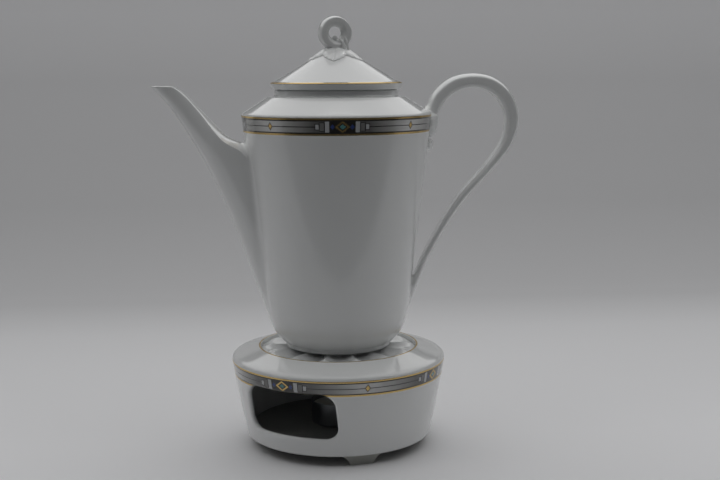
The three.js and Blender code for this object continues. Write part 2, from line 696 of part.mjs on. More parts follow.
function piece(name, geometry, finish) {
  const mesh = new THREE.Mesh(geometry, new THREE.MeshStandardMaterial(finish));
  mesh.name = name;
  return mesh;
}

const object = new THREE.Group();

object.add(piece('warmer_wall', warmerWall(), PORCELAIN));
object.add(piece('warmer_star', warmerStar(), PORCELAIN));
object.add(piece('warmer_floor', warmerFloor(), BISCUIT));
for (let i = 0; i < FEET_COUNT; i++) {
  const azimuth = WARMER_TURN + FEET_TURN + (360 * i) / FEET_COUNT;
  object.add(piece(`warmer_foot_${i + 1}`, turned(warmerFoot(), azimuth), BISCUIT));
}
object.add(piece('tealight_cup', tealightCup(), ALUMINIUM));
object.add(piece('tealight_wax', tealightWax(), WAX));
object.add(piece('wick_sustainer', wickSustainer(), ALUMINIUM));
object.add(piece('wick', wick(), COTTON));
object.add(piece('pot_body', potBody(), PORCELAIN));
object.add(piece('pot_spout', potSpout(), PORCELAIN));
object.add(piece('pot_handle', potHandle(), PORCELAIN));
object.add(piece('handle_leaf_upper', handleLeaf(UPPER_LEAF), PORCELAIN));
object.add(piece('handle_leaf_lower', handleLeaf(LOWER_LEAF), PORCELAIN));
object.add(piece('lid_body', lidBody(), PORCELAIN));
object.add(piece('lid_ring', lidRing(), PORCELAIN));
object.add(piece('lid_bud', lidBud(), PORCELAIN));
for (let i = 0; i < LID_LEAVES; i++) object.add(piece(`lid_leaf_${i + 1}`, lidLeaf(i), PORCELAIN));

export default object;
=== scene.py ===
# Coffee pot on its tea-light warmer: glazed porcelain, gilding, printed bands, and the studio around it.
# The frame is in metres. Shapes are drawn in millimetres and scaled when they become pieces of the object.

import math
from math import cos, radians, sin

import bmesh
import bpy
import numpy as np
from mathutils import Matrix, Vector
from mathutils.bvhtree import BVHTree
from numpy.linalg import norm


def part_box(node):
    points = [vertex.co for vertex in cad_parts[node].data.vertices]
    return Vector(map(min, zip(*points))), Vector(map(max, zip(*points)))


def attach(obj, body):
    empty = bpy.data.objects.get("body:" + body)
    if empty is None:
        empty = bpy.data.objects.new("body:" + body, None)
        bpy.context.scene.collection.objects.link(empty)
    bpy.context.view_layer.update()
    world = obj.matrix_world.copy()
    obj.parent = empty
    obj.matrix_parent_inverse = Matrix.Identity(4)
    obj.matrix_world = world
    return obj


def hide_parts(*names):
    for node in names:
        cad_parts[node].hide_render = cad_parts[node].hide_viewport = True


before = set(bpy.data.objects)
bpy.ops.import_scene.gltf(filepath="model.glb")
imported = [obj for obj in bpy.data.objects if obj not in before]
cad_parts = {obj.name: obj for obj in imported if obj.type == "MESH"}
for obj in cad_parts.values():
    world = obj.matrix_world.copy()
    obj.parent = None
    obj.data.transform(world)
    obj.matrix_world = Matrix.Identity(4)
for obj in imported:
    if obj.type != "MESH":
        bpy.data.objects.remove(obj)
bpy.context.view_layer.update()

MM = 0.001


def node_box(node):
    """Lowest and highest corner of a frame node, in millimetres."""
    low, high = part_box(node)
    return np.array(low) / MM, np.array(high) / MM


# Sizes in millimetres. Heights of the pot are above its foot, and heights of the lid above its seat.
_, pot_high = node_box("pot_body")
_, ring_high = node_box("lid_ring")
wall_low, wall_high = node_box("warmer_wall")
star_low, _ = node_box("warmer_star")

SEAT_GAP = 0.3
POT_Z = wall_high[2] + SEAT_GAP
POT_MOUTH_Z = pot_high[2]
LID_Z = POT_MOUTH_Z + SEAT_GAP
TURN = -33.5  # azimuth of the warmer's window, from -Y towards +X
LID_TURN = 12.0  # azimuth that the ring's open side faces

POT_FOOT_R, POT_FOOT_BAND, POT_FOOT_H, POT_FOOT_DRAFT = 36.8, 4.6, 2.6, 1.0
POT_KEEL = (37.1, 2.6)
POT_BEND = (46.6, 8.8)
POT_BELLY = (49.4, 23.0)
POT_EDGE = (65.75, 162.2)
POT_SHELF = (47.6, 173.4)
POT_NECK_R, POT_SHELF_RISE = 42.6, 0.6
POT_WALL, POT_FLOOR_T = 3.8, 4.8
POT_EDGE_ROUND = 2.2

SPOUT_REACH, SPOUT_FOOT_H, SPOUT_MOUTH_H, SPOUT_WALL = 127.2, 26.4, 181.3, 2.4
SPOUT_HALF_WIDTHS = (8.5, 15.4, 18.0, 18.2, 16.2, 11.0, 8.2, 7.2)
SPOUT_CROWNS = (5.0, 5.0, 5.0, 5.0, 3.6, 1.7, 1.2, 1.0)
SPOUT_KEEL_POWER = 0.9
# Edge points as (share of the throw beyond the wall, share of the height from foot to mouth)
SPOUT_LOWER_EDGE = (
    (0.0, 0.0), (0.068, 0.085), (0.203, 0.3024), (0.361, 0.5226), (0.543, 0.712), (0.778, 0.892),
    (0.92, 0.9675), (1.05, 1.022))
SPOUT_UPPER_EDGE = (
    (-0.14, 0.02), (-0.14, 0.3), (-0.13, 0.52), (-0.06, 0.715), (0.202, 0.7827), (0.448, 0.8938),
    (0.63, 0.975), (0.8, 1.014))
STRAINER_HOLE_R, STRAINER_PITCH, STRAINER_H = 2.0, 7.0, 68.1
STRAINER_ROWS = ((-1, 2), (0, 3), (1, 2))  # row from the middle one, and its holes
SPOUT_CREASE, HANDLE_CREASE, LIP_CREASE = 3.6, 3.2, 1.3

HANDLE_REACH, HANDLE_REACH_H, HANDLE_FOOT_H, HANDLE_TOP_H = 127.2, 154.4, 26.2, 188.8
HANDLE_HALF_WIDTHS = (7.6, 8.2, 8.2, 7.8, 7.0, 6.6, 6.2, 5.6, 3.4)
HANDLE_THICKNESSES = (9.0, 9.3, 9.8, 10.0, 9.7, 10.2, 10.3, 9.9, 9.1, 8.2, 6.8, 6.3, 5.3, 5.0, 4.7, 3.6)
HANDLE_CROWN, HANDLE_INNER_ROUND = 2.3, 2.2
HANDLE_OUTER_LINE = (
    (-0.13, 0.79), (-0.061, 0.8662), (0.012, 0.9294), (0.18, 0.983), (0.408, 1.0), (0.645, 0.9835),
    (0.849, 0.9285), (0.975, 0.846), (0.9955, 0.7625), (0.937, 0.6766), (0.753, 0.5757), (0.51, 0.46),
    (0.315, 0.3307), (0.162, 0.1958), (0.062, 0.0642), (0.018, 0.0))

LID_RIM_R, LID_RIM_H, LID_UNDERCUT = 45.4, 4.4, 0.6
LID_CONE_DROP, LID_LAND, LID_LAND_RISE = 0.5865, 2.4, 0.7
LID_WALL, LID_FLANGE_T, LID_FLANGE_H, LID_PLAY = 3.4, 3.0, 10.0, 0.6
CONE_TIP_Z = LID_Z + LID_RIM_H + LID_LAND_RISE + (LID_RIM_R - LID_LAND) * LID_CONE_DROP
RING_R, RING_HOLE_R, RING_W, RING_CROWN, RING_INNER_ROUND = 11.6, 4.3, 11.0, 1.2, 2.6
RING_OFFSET = -0.7
RING_Z = ring_high[2] - RING_R
STEM_R, STEM_FLARE_R, STEM_H = 6.2, 8.2, 5.2
VENT_R, VENT_REACH = 1.4, 26.0
STEM_CREASE, RING_CREASE = 1.6, 2.2

WARMER_R, WARMER_BASE_R, WARMER_BULGE, WARMER_WALL = 75.0, 65.0, 0.8, 4.0
FEET_H, BASE_ROUND, BAND_TOP_Z = wall_low[2], 2.0, 60.7
WARMER_EDGE_H, WARMER_EDGE_ROUND = 4.4, 4.2
RIM_Z, RIM_LAND, RECESS_R = wall_high[2], 1.2, 54.6
CEILING_T, CEILING_BEND, STAR_LEDGE = 4.0, 12.0, 4.5
FLOOR_LEDGE, FLOOR_LEDGE_H = 6.0, 2.6
WINDOW_W, WINDOW_LOW_Z, WINDOW_HIGH_Z, WINDOW_CORNER_R, WINDOW_CREASE = 66.6, 19.9, 51.2, 8.5, 3.0
FLUTES, FLUTE_TURN, FLUTE_DEPTH, HEAT_HOLE_R = 14, 5.8, 3.0, 21.0
RECESS_DEPTH, STAR_SHOULDER = 3.0, 8.0
STAR_UNDER_Z, STAR_OVERLAP, RIDGE_BLUNT = star_low[2], 1.5, 0.03
FEET, FEET_TURN, FOOT_BAND, FOOT_INSET, FOOT_TOP_ARC, FOOT_BOTTOM_ARC = 3, 45, 5.6, 4.5, 28, 16
# Height over the table, and how far a foot has widened there from its bottom arc to its top arc
FOOT_ENDS = ((0, 0), (1.6, 0.08), (3.2, 0.24), (4.8, 0.5), (6.2, 0.84), (FEET_H + 1, 1.1))

# Longest side of an outline, and steps round the axis
POT_SIDE, POT_STEPS = 2.5, 240
LID_SIDE, LID_STEPS = 2.2, 200
WARMER_SIDE, WARMER_STEPS = 2.0, 240
# Longest edge at a softened crease, and the length over which a section's corners are blunted
POT_DETAIL, LIP_DETAIL, LID_DETAIL, WINDOW_DETAIL = 1.2, 0.5, 0.8, 0.9
SPOUT_BLUR, HANDLE_BLUR, RING_BLUR = 0.55, 0.5, 0.35

ON_AXIS = 1e-6  # a smaller radius is on the axis
CLOSE = 0.05  # nearer than this to a surface, its own normal is used
SHARP = 40.0  # degrees, and a sharper edge is shaded as one


# Outlines and curves

def rounded(corners, facet=6.0):
    """A closed outline. A corner is (x, y) or (x, y, radius), and a radius becomes an arc."""
    out = []
    for i, corner in enumerate(corners):
        at = np.array(corner[:2], float)
        if len(corner) == 2 or corner[2] <= 0:
            out.append(at)
            continue
        before = np.array(corners[i - 1][:2], float) - at
        after = np.array(corners[(i + 1) % len(corners)][:2], float) - at
        reach = min(norm(before), norm(after)) * 0.49
        before /= norm(before)
        after /= norm(after)
        half = math.acos(max(-1.0, min(1.0, before @ after))) / 2
        radius = min(corner[2], reach * math.tan(half))
        centre = at + (before + after) / norm(before + after) * radius / sin(half)
        first = at + before * radius / math.tan(half) - centre
        last = at + after * radius / math.tan(half) - centre
        sweep = math.pi - 2 * half
        count = max(2, math.ceil(math.degrees(sweep) / facet))
        for k in range(count + 1):
            t = k / count
            arm = (sin((1 - t) * sweep) * first + sin(t * sweep) * last) / sin(sweep)
            out.append(centre + arm)
    return np.array(out)


def bend(start, control, end, count):
    """Points of a quadratic bend, its two ends left out."""
    t = np.arange(1, count)[:, None] / count
    points = (1 - t) ** 2 * np.array(start) + 2 * t * (1 - t) * np.array(control) + t ** 2 * np.array(end)
    return [tuple(p) for p in points]


def stepped(outline, longest):
    """The closed outline with no side longer than that, apart from one on the axis."""
    out = []
    for a, b in zip(outline, np.roll(outline, -1, axis=0)):
        count = max(1, math.ceil(norm(b - a) / longest))
        if max(abs(a[0]), abs(b[0])) < ON_AXIS:
            count = 1
        out += [a + (b - a) * k / count for k in range(count)]
    return np.array(out)


def along(values, share):
    """A smooth line through evenly spaced values, read at shares from 0 to 1."""
    values = np.atleast_2d(np.array(values, float).T).T
    place = np.clip(np.atleast_1d(share), 0, 1) * (len(values) - 1)
    i = np.minimum(place.astype(int), len(values) - 2)
    t = (place - i)[:, None]
    p0, p1 = values[np.maximum(i - 1, 0)], values[i]
    p2, p3 = values[i + 1], values[np.minimum(i + 2, len(values) - 1)]
    v0, v1 = (p2 - p0) / 2, (p3 - p1) / 2
    return (2 * p1 - 2 * p2 + v0 + v1) * t ** 3 + (3 * p2 - 3 * p1 - 2 * v0 - v1) * t ** 2 + v0 * t + p1


def blunted(ring, blur, count):
    """The closed ring as evenly spaced points, its corners softened over a length of blur."""
    ring = np.array(ring, float)
    dense = 720
    closed = np.vstack([ring, ring[:1]])
    run = np.concatenate([[0], np.cumsum(norm(np.diff(closed, axis=0), axis=1))])
    even = np.linspace(0, run[-1], dense, endpoint=False)
    points = np.stack([np.interp(even, run, closed[:, k]) for k in range(ring.shape[1])], axis=1)
    waves = np.fft.rfftfreq(dense, run[-1] / dense)[:, None]
    kept = np.exp(-2 * (math.pi * blur * waves) ** 2)
    soft = np.fft.irfft(np.fft.rfft(points, axis=0) * kept, dense, axis=0)
    return soft[:: dense // count]


# Meshes

def solid(name, vertices, faces):
    mesh = bpy.data.meshes.new(name)
    mesh.from_pydata([tuple(v) for v in vertices], [], faces)
    mesh.validate()
    made = bpy.data.objects.new(name, mesh)
    bpy.context.scene.collection.objects.link(made)
    return made


def revolve(name, outline, steps):
    """A solid of revolution about Z from a closed outline of (radius, height)."""
    vertices, rings = [], []
    for radius, height in outline:
        if radius < ON_AXIS:
            vertices.append((0, 0, height))
            rings.append([len(vertices) - 1] * steps)
            continue
        start = len(vertices)
        for s in range(steps):
            a = 2 * math.pi * s / steps
            vertices.append((radius * sin(a), -radius * cos(a), height))
        rings.append(list(range(start, start + steps)))
    faces = []
    for low, high in zip(rings, rings[1:] + rings[:1]):
        for s in range(steps):
            n = (s + 1) % steps
            face = list(dict.fromkeys((low[s], low[n], high[n], high[s])))
            if len(face) > 2:
                faces.append(face)
    return outwards(solid(name, vertices, faces))


def rod(name, radius, half, steps):
    """A cylinder on the axis, half above and half below the origin."""
    return revolve(name, np.array([(0, -half), (radius, -half), (radius, half), (0, half)]), steps)


def outwards(made):
    mesh = bmesh.new()
    mesh.from_mesh(made.data)
    bmesh.ops.recalc_face_normals(mesh, faces=mesh.faces)
    if mesh.calc_volume(signed=True) < 0:
        bmesh.ops.reverse_faces(mesh, faces=mesh.faces)
    mesh.to_mesh(made.data)
    mesh.free()
    return made


def loft(name, rings):
    """A solid through closed rings of points, with fanned ends."""
    sides = len(rings[0])
    vertices = [p for ring in rings for p in ring]
    faces = []
    for r in range(len(rings) - 1):
        for k in range(sides):
            a, b = r * sides + k, r * sides + (k + 1) % sides
            faces.append((a, b, b + sides, a + sides))
    for first in (0, (len(rings) - 1) * sides):
        vertices.append(np.mean(rings[0 if first == 0 else -1], axis=0))
        faces += [(len(vertices) - 1, first + k, first + (k + 1) % sides) for k in range(sides)]
    return outwards(solid(name, vertices, faces))


def combine(base, operation, *tools):
    """Boolean of base with each tool, which is used up. The result has to be closed."""
    for tool in tools:
        modifier = base.modifiers.new("combine", "BOOLEAN")
        modifier.operation, modifier.solver, modifier.object = operation, "MANIFOLD", tool
        bpy.context.view_layer.update()
        evaluated = base.evaluated_get(bpy.context.evaluated_depsgraph_get())
        mesh = bpy.data.meshes.new_from_object(evaluated)
        base.modifiers.clear()
        base.data = mesh
        bpy.data.objects.remove(tool)
        check = bmesh.new()
        check.from_mesh(mesh)
        if not all(edge.is_manifold for edge in check.edges):
            raise ValueError(f"{base.name} is open after a boolean")
        check.free()
    return base


def copied(made):
    twin = made.copy()
    twin.data = made.data.copy()
    bpy.context.scene.collection.objects.link(twin)
    return twin


def turned(made, angle, axis="Z"):
    made.data.transform(Matrix.Rotation(radians(angle), 4, axis))
    return made


def shifted(made, x, y, z):
    made.data.transform(Matrix.Translation((x, y, z)))
    return made


# Distance fields, which return distance, direction outwards, and how strongly two of them blend

def revolved_field(outline):
    """A solid of revolution, from its outline."""
    a = np.array(outline, float)
    b = np.roll(a, -1, axis=0)
    side = b - a
    area = np.sum(a[:, 0] * b[:, 1] - b[:, 0] * a[:, 1])
    normal = np.stack([side[:, 1], -side[:, 0]], axis=1) * np.sign(area)
    normal = normal / np.maximum(norm(normal, axis=1), 1e-9)[:, None]
    axis_sides = (a[:, 0] < ON_AXIS) & (b[:, 0] < ON_AXIS)
    low, high = np.minimum(a[:, 1], b[:, 1]), np.maximum(a[:, 1], b[:, 1])
    slope = side[:, 0] / np.where(abs(side[:, 1]) < 1e-9, 1, side[:, 1])

    def field(points):
        radius = np.hypot(points[:, 0], points[:, 1])
        q = np.stack([radius, points[:, 2]], axis=1)
        t = np.einsum("nkd,kd->nk", q[:, None] - a, side) / np.maximum((side ** 2).sum(1), 1e-12)
        nearest = a + np.clip(t, 0, 1)[..., None] * side
        away = q[:, None] - nearest
        length = norm(away, axis=2)
        length[:, axis_sides] = 1e9
        k = np.argmin(length, axis=1)
        rows = np.arange(len(q))
        away, length = away[rows, k], length[rows, k]
        crosses = (q[:, None, 1] >= low) & (q[:, None, 1] < high)
        crosses &= a[:, 0] + (q[:, None, 1] - a[:, 1]) * slope > q[:, None, 0]
        sign = np.where(crosses.sum(1) % 2 == 1, -1.0, 1.0)
        plane = np.where((length > CLOSE)[:, None],
                         away / np.maximum(length, 1e-9)[:, None] * sign[:, None], normal[k])
        unit = points[:, :2] / np.maximum(radius, 1e-9)[:, None]
        return sign * length, np.column_stack([unit * plane[:, :1], plane[:, 1]]), np.zeros(len(q))

    return field


def mesh_field(made):
    """A closed mesh."""
    mesh = bmesh.new()
    mesh.from_mesh(made.data)
    bmesh.ops.triangulate(mesh, faces=mesh.faces)
    tree = BVHTree.FromBMesh(mesh)
    mesh.free()

    def field(points):
        distance, direction = np.zeros(len(points)), np.zeros((len(points), 3))
        for i, p in enumerate(points):
            near, normal, _, length = tree.find_nearest(Vector(p))
            away = Vector(p) - near
            sign = 1.0 if away.dot(normal) >= 0 else -1.0
            distance[i] = sign * length
            direction[i] = away / length * sign if length > CLOSE else normal
        return distance, direction, np.zeros(len(points))

    return field


def opening_field(half, low, high, corner, azimuth):
    """A rectangle with round corners, seen along the azimuth that it is turned to, without end."""
    a = radians(azimuth)
    across = np.array([cos(a), sin(a), 0.0])
    inner = np.array([half, (high - low) / 2]) - corner

    def field(points):
        q = np.stack([points @ across, points[:, 2] - (low + high) / 2], axis=1)
        over = np.abs(q) - inner
        outside = norm(np.maximum(over, 0), axis=1)
        distance = outside + np.minimum(np.max(over, axis=1), 0) - corner
        to_corner = np.maximum(over, 0) / np.maximum(outside, 1e-9)[:, None]
        direction = np.where((outside > 1e-6)[:, None], to_corner, np.eye(2)[np.argmax(over, axis=1)])
        direction = direction * np.sign(q)
        return distance, direction[:, :1] * across + direction[:, 1:] * [0, 0, 1], np.zeros(len(q))

    return field


def above_field(height):
    """All space above a height."""
    def field(points):
        return height - points[:, 2], np.tile([0.0, 0.0, -1.0], (len(points), 1)), np.zeros(len(points))

    return field


def blend(first, second, soft, cut=False):
    """Two fields joined, or the second cut from the first, with the crease softened over a length."""
    flip = -1.0 if cut else 1.0

    def field(points):
        (a, ga, ha), (b, gb, hb) = first(points), second(points)
        a, ga = flip * a, flip * ga
        h = np.maximum(soft - abs(a - b), 0) / soft
        distance = np.minimum(a, b) - h ** 2 * soft / 4
        weight = np.where(a < b, 1 - h / 2, h / 2)[:, None]
        direction = weight * ga + (1 - weight) * gb
        near = h * (np.minimum(abs(a), abs(b)) < soft)
        return flip * distance, flip * direction, np.maximum.reduce([ha, hb, near])

    return field


def soften(made, field, detail):
    """Draws the mesh near a crease onto the softened field, after splitting its longer edges there."""
    rounds, passes, longest_move, least_size = 2, 5, 0.6, 0.15
    mesh = bmesh.new()
    mesh.from_mesh(made.data)
    for _ in range(rounds):
        mesh.verts.ensure_lookup_table()
        points = np.array([v.co for v in mesh.verts])
        _, _, near = field(points)
        mesh.verts.index_update()
        long = [e for e in mesh.edges if max(near[e.verts[0].index], near[e.verts[1].index]) > 0
                and e.calc_length() > detail]
        if not long:
            break
        bmesh.ops.subdivide_edges(mesh, edges=long, cuts=1)
        many = [f for f in mesh.faces if len(f.verts) > 4]
        bmesh.ops.triangulate(mesh, faces=many)
    mesh.verts.ensure_lookup_table()
    points = np.array([v.co for v in mesh.verts])
    _, _, near = field(points)
    chosen = np.flatnonzero(near > 0)
    moving = points[chosen]
    for _ in range(passes):
        distance, direction, _ = field(moving)
        size = np.maximum((direction ** 2).sum(1), least_size)
        moving = moving - direction * (np.clip(distance, -longest_move, longest_move) / size)[:, None]
    for i, p in zip(chosen, moving):
        mesh.verts[i].co = p
    mesh.to_mesh(made.data)
    mesh.free()
    return made


def soften_near(made, field, low, high, detail):
    """Softens a crease inside a box only."""
    low, high = np.array(low), np.array(high)

    def inside(points):
        distance, direction = np.zeros(len(points)), np.zeros((len(points), 3))
        near = np.zeros(len(points))
        chosen = np.flatnonzero(((points > low) & (points < high)).all(axis=1))
        if len(chosen):
            distance[chosen], direction[chosen], near[chosen] = field(points[chosen])
        return distance, direction, near

    return soften(made, inside, detail)


def finished(made, body, material, replaced):
    """Scales a shape to metres, smooths its shading and makes it a piece of the object."""
    mesh = bmesh.new()
    mesh.from_mesh(made.data)
    bmesh.ops.triangulate(mesh, faces=[f for f in mesh.faces if len(f.verts) > 4])
    mesh.to_mesh(made.data)
    mesh.free()
    made.data.transform(Matrix.Scale(MM, 4))
    made.data.shade_smooth()
    made.data.set_sharp_from_angle(angle=radians(SHARP))
    made.data.materials.clear()
    made.data.materials.append(material)
    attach(made, body)
    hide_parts(*replaced)
    return made


# Materials

def operator(operation):
    """A method that sends its operands through one math node."""
    def method(self, *others):
        return self.math(operation, *others)
    return method


def reflected(operation):
    """The same with its operands the other way round, so that 1 - mask works."""
    def method(self, other):
        return self.nodes.value(other).math(operation, self)
    return method


class Value:
    """A socket of the node tree, with arithmetic."""

    def __init__(self, nodes, socket):
        self.nodes, self.socket = nodes, socket

    def math(self, operation, *others):
        return self.nodes.out("Math", {"operation": operation}, [self, *others])

    __add__ = __radd__ = operator("ADD")
    __mul__ = __rmul__ = operator("MULTIPLY")
    __sub__, __rsub__ = operator("SUBTRACT"), reflected("SUBTRACT")
    __truediv__, __rtruediv__ = operator("DIVIDE"), reflected("DIVIDE")
    __pow__, __rpow__ = operator("POWER"), reflected("POWER")
    __abs__ = operator("ABSOLUTE")
    __lt__, __gt__ = operator("LESS_THAN"), operator("GREATER_THAN")

    def within(self, low, high):
        """1 between the two limits, and 0 outside them."""
        return abs(self - (low + high) / 2) < (high - low) / 2


class Nodes:
    """A node tree, with the one method that makes its nodes."""

    def __init__(self, tree):
        self.tree = tree

    def node(self, kind, settings, inputs):
        """A node of that type, with its settings, then its sockets by place or by name."""
        made = self.tree.nodes.new("ShaderNode" + kind)
        for key, value in settings.items():
            if key == "stops":
                ramp = made.color_ramp
                while len(ramp.elements) < len(value):
                    ramp.elements.new(0.5)
                for element, (place, colour) in zip(ramp.elements, value):
                    element.position, element.color = place, (*colour, 1)
            else:
                setattr(made, key, value)
        pairs = inputs.items() if isinstance(inputs, dict) else enumerate(inputs)
        for key, value in pairs:
            self.join(value, made.inputs[key])
        return made

    def join(self, value, socket):
        if isinstance(value, Value):
            self.tree.links.new(value.socket, socket)
        elif isinstance(value, tuple):
            socket.default_value = (*value, 1)
        else:
            socket.default_value = value

    def out(self, kind, settings, inputs, output=0):
        return Value(self, self.node(kind, settings, inputs).outputs[output])

    def value(self, number):
        return self.out("Math", {"operation": "ADD"}, [number, 0.0])

    def mix(self, share, first, second):
        """A colour that goes from the first to the second as share goes from 0 to 1."""
        return self.out("Mix", {"data_type": "RGBA"}, {0: share, 6: first, 7: second}, output=2)


class Paint(Nodes):
    """A material whose look is built from nodes."""

    def __init__(self, name):
        self.material = bpy.data.materials.new(name)
        self.material.use_nodes = True
        super().__init__(self.material.node_tree)
        self.shader = self.tree.nodes["Principled BSDF"]

    def set(self, **sockets):
        for key, value in sockets.items():
            self.join(value, self.shader.inputs[key.replace("_", " ")])


GLAZE_LIGHT, GLAZE_DARK = (0.80, 0.81, 0.805), (0.765, 0.775, 0.772)
GOLD, INK, PALE, GREY = (0.64, 0.46, 0.19), (0.016, 0.014, 0.012), (0.47, 0.48, 0.49), (0.17, 0.17, 0.165)
BLUE, TEAL = (0.03, 0.055, 0.20), (0.10, 0.27, 0.26)
# Bare porcelain's grey, darkened as painted shade on the warmer's feet
SHADED_BISCUIT = (0.42, 0.42, 0.39)
GLAZE_ROUGH, GOLD_ROUGHER, BARE_ROUGHER, COAT = 0.12, 0.12, 0.4, 0.6

# Print of a band, in millimetres along it and up from its middle
TURN_SHARE = 45.0  # degrees from the middle of a figure to the lone lozenge between two figures
BAND_GROUND = ((0.0, (0.10, 0.10, 0.095)), (0.36, (0.13, 0.13, 0.125)), (0.62, (0.34, 0.34, 0.33)),
               (0.92, (0.62, 0.62, 0.61)), (1.0, (0.64, 0.64, 0.63)))
FIGURE_HALF, MIDDLE_LINE, KEY_LINE = 8.0, 0.28, 0.45
# Place, half width, share of the band's height and colour
BARS = ((9.9, 1.4, 0.98, PALE), (13.3, 1.4, 0.72, GREY), (16.4, 1.1, 0.44, PALE))
LOZENGE_HALF, LOZENGE_OVER, LOZENGE_GOLD, LOZENGE_HEART = 5.0, 0.35, (0.66, 0.98), 0.42
SPOT_PLACE, SPOT_HALVES = 6.4, (1.5, 1.8)
LONE_HALVES, LONE_INK = (1.45, 1.95), 1.45
BAND_INWARD, BAND_OUTWARD = 1.5, 0.45  # how far from the wall's radius the print reaches


def printed_band(high, low, gold_width, ink_width, figure_at, bare=0.0):
    """What draws a band between gold lines: a figure each quarter turn, and a lone lozenge between two.

    High and low are its ends as (radius, height). It stays bare that many degrees on either side of +X.
    """
    def draw(paint, x, y, z, radius, base, gold):
        (high_r, high_z), (low_r, low_z) = high, low
        middle_r, half = (high_r + low_r) / 2, (high_z - low_z) / 2
        rise = z - (high_z + low_z) / 2
        lift = abs(rise)
        wall = radius.within(low_r - BAND_INWARD, high_r + BAND_OUTWARD)
        azimuth = x.math("ARCTAN2", y * -1) * math.degrees(1)
        wall = wall * (abs(azimuth - 90) > bare)
        degrees = azimuth - figure_at
        turn = degrees.math("WRAP", TURN_SHARE, -TURN_SHARE)
        away = abs(turn)
        side = away * (radians(1) * middle_r)
        zone = wall * (lift < half)
        ground = paint.out("ValToRGB", {"stops": BAND_GROUND}, [away / TURN_SHARE])
        base = paint.mix(zone, base, ground)
        inner = half - gold_width / 2 - ink_width
        ink = (lift < MIDDLE_LINE).math("MAXIMUM", lift > inner) * (side > FIGURE_HALF)
        base = paint.mix(zone * ink, base, INK)
        base = paint.mix(zone * (side < FIGURE_HALF), base, INK)
        for place, width, share, colour in BARS:
            tall = inner * share
            off = abs(side - place)
            base = paint.mix(zone * (off < width + KEY_LINE) * (lift < tall + KEY_LINE), base, INK)
            base = paint.mix(zone * (off < width) * (lift < tall), base, colour)
        lozenge = side / LOZENGE_HALF + lift / (inner + LOZENGE_OVER)
        rings = lozenge.within(*LOZENGE_GOLD)
        base = paint.mix(zone * (lozenge < LOZENGE_HEART), base, TEAL)
        spots = abs(side - SPOT_PLACE) / SPOT_HALVES[0] + lift / SPOT_HALVES[1]
        base = paint.mix(zone * (spots < 1.0), base, BLUE)
        from_lone = (TURN_SHARE - away) * (radians(1) * middle_r)
        lone = from_lone / LONE_HALVES[0] + lift / LONE_HALVES[1]
        base = paint.mix(zone * (lone < LONE_INK), base, INK)
        high_line, low_line = (abs(z - level) < gold_width / 2 for level in (high_z, low_z))
        lines = high_line.math("MAXIMUM", low_line) * wall
        found = (zone * rings).math("MAXIMUM", zone * (lone < 1.0)).math("MAXIMUM", lines)
        return base, gold.math("MAXIMUM", found)

    return draw


def porcelain(name, gilding=(), band=None, unglazed=0.0):
    """White glaze with gold rings, each within limits of radius and height, and a printed band.

    It is bare unglazed porcelain below the unglazed height, in a darker grey that is painted shade on the
    warmer's feet.
    """
    paint = Paint(name)
    place = paint.out("TexCoord", {}, {}, output=3)
    tone = paint.out("TexNoise", {}, {"Vector": place, "Scale": 22.0, "Detail": 2.0})
    base = paint.mix(tone, GLAZE_DARK, GLAZE_LIGHT)
    ripple = paint.out("TexNoise", {}, {"Vector": place, "Scale": 60.0, "Detail": 1.0})
    bump = paint.out("Bump", {}, {"Height": ripple, "Strength": 0.03, "Distance": 0.0006})
    split = paint.node("SeparateXYZ", {}, [place])
    x, y, z = (Value(paint, split.outputs[k]) / MM for k in range(3))
    radius = (x * x + y * y) ** 0.5
    gold = paint.value(0.0)
    for in_radius, in_height in gilding:
        gold = gold.math("MAXIMUM", radius.within(*in_radius) * z.within(*in_height))
    if band:
        base, gold = band(paint, x, y, z, radius, base, gold)
    # Painted shade: below the unglazed height the colour turns to a darker grey for the shade on the
    # warmer's feet; the added roughness and missing coat are the bare porcelain's own.
    bare = z < unglazed
    base = paint.mix(bare, base, SHADED_BISCUIT)
    paint.set(Base_Color=paint.mix(gold, base, GOLD), Metallic=gold,
              Roughness=GLAZE_ROUGH + gold * GOLD_ROUGHER + bare * BARE_ROUGHER,
              Coat_Weight=COAT - gold.math("MAXIMUM", bare) * COAT, Coat_Roughness=0.035, Normal=bump)
    return paint.material


def speckled(name, first, second, scale, roughness, metallic=0.0, strength=0.1):
    """A plain stuff whose colour wanders between two tones."""
    paint = Paint(name)
    place = paint.out("TexCoord", {}, {}, output=3)
    grain = paint.out("TexNoise", {}, {"Vector": place, "Scale": scale, "Detail": 4.0})
    bump = paint.out("Bump", {}, {"Height": grain, "Strength": strength, "Distance": 0.0003})
    paint.set(Base_Color=paint.mix(grain, first, second), Metallic=metallic,
              Roughness=roughness + grain * 0.12, Normal=bump)
    return paint.material


# Pot

def wall_radius(height):
    """Radius of the pot's straight side, drawn on above and below it."""
    slope = (POT_EDGE[0] - POT_BELLY[0]) / (POT_EDGE[1] - POT_BELLY[1])
    return POT_BELLY[0] + (height - POT_BELLY[1]) * slope


def pot_outline():
    neck_h = POT_MOUTH_Z - POT_Z
    inner = POT_FOOT_R - POT_FOOT_BAND
    corners = [
        (0, POT_FOOT_H), (inner, POT_FOOT_H, 1.0), (inner + POT_FOOT_DRAFT, 0, 0.6), (POT_FOOT_R, 0, 0.6),
        (*POT_KEEL, 1.2), *bend(POT_KEEL, POT_BEND, POT_BELLY, 14), POT_BELLY, (*POT_EDGE, POT_EDGE_ROUND),
        (*POT_SHELF, 1.6), (POT_NECK_R, POT_SHELF[1] + POT_SHELF_RISE, 1.4), (POT_NECK_R, neck_h, 1.2),
        (0, neck_h)]
    return rounded(corners) + [0, POT_Z]


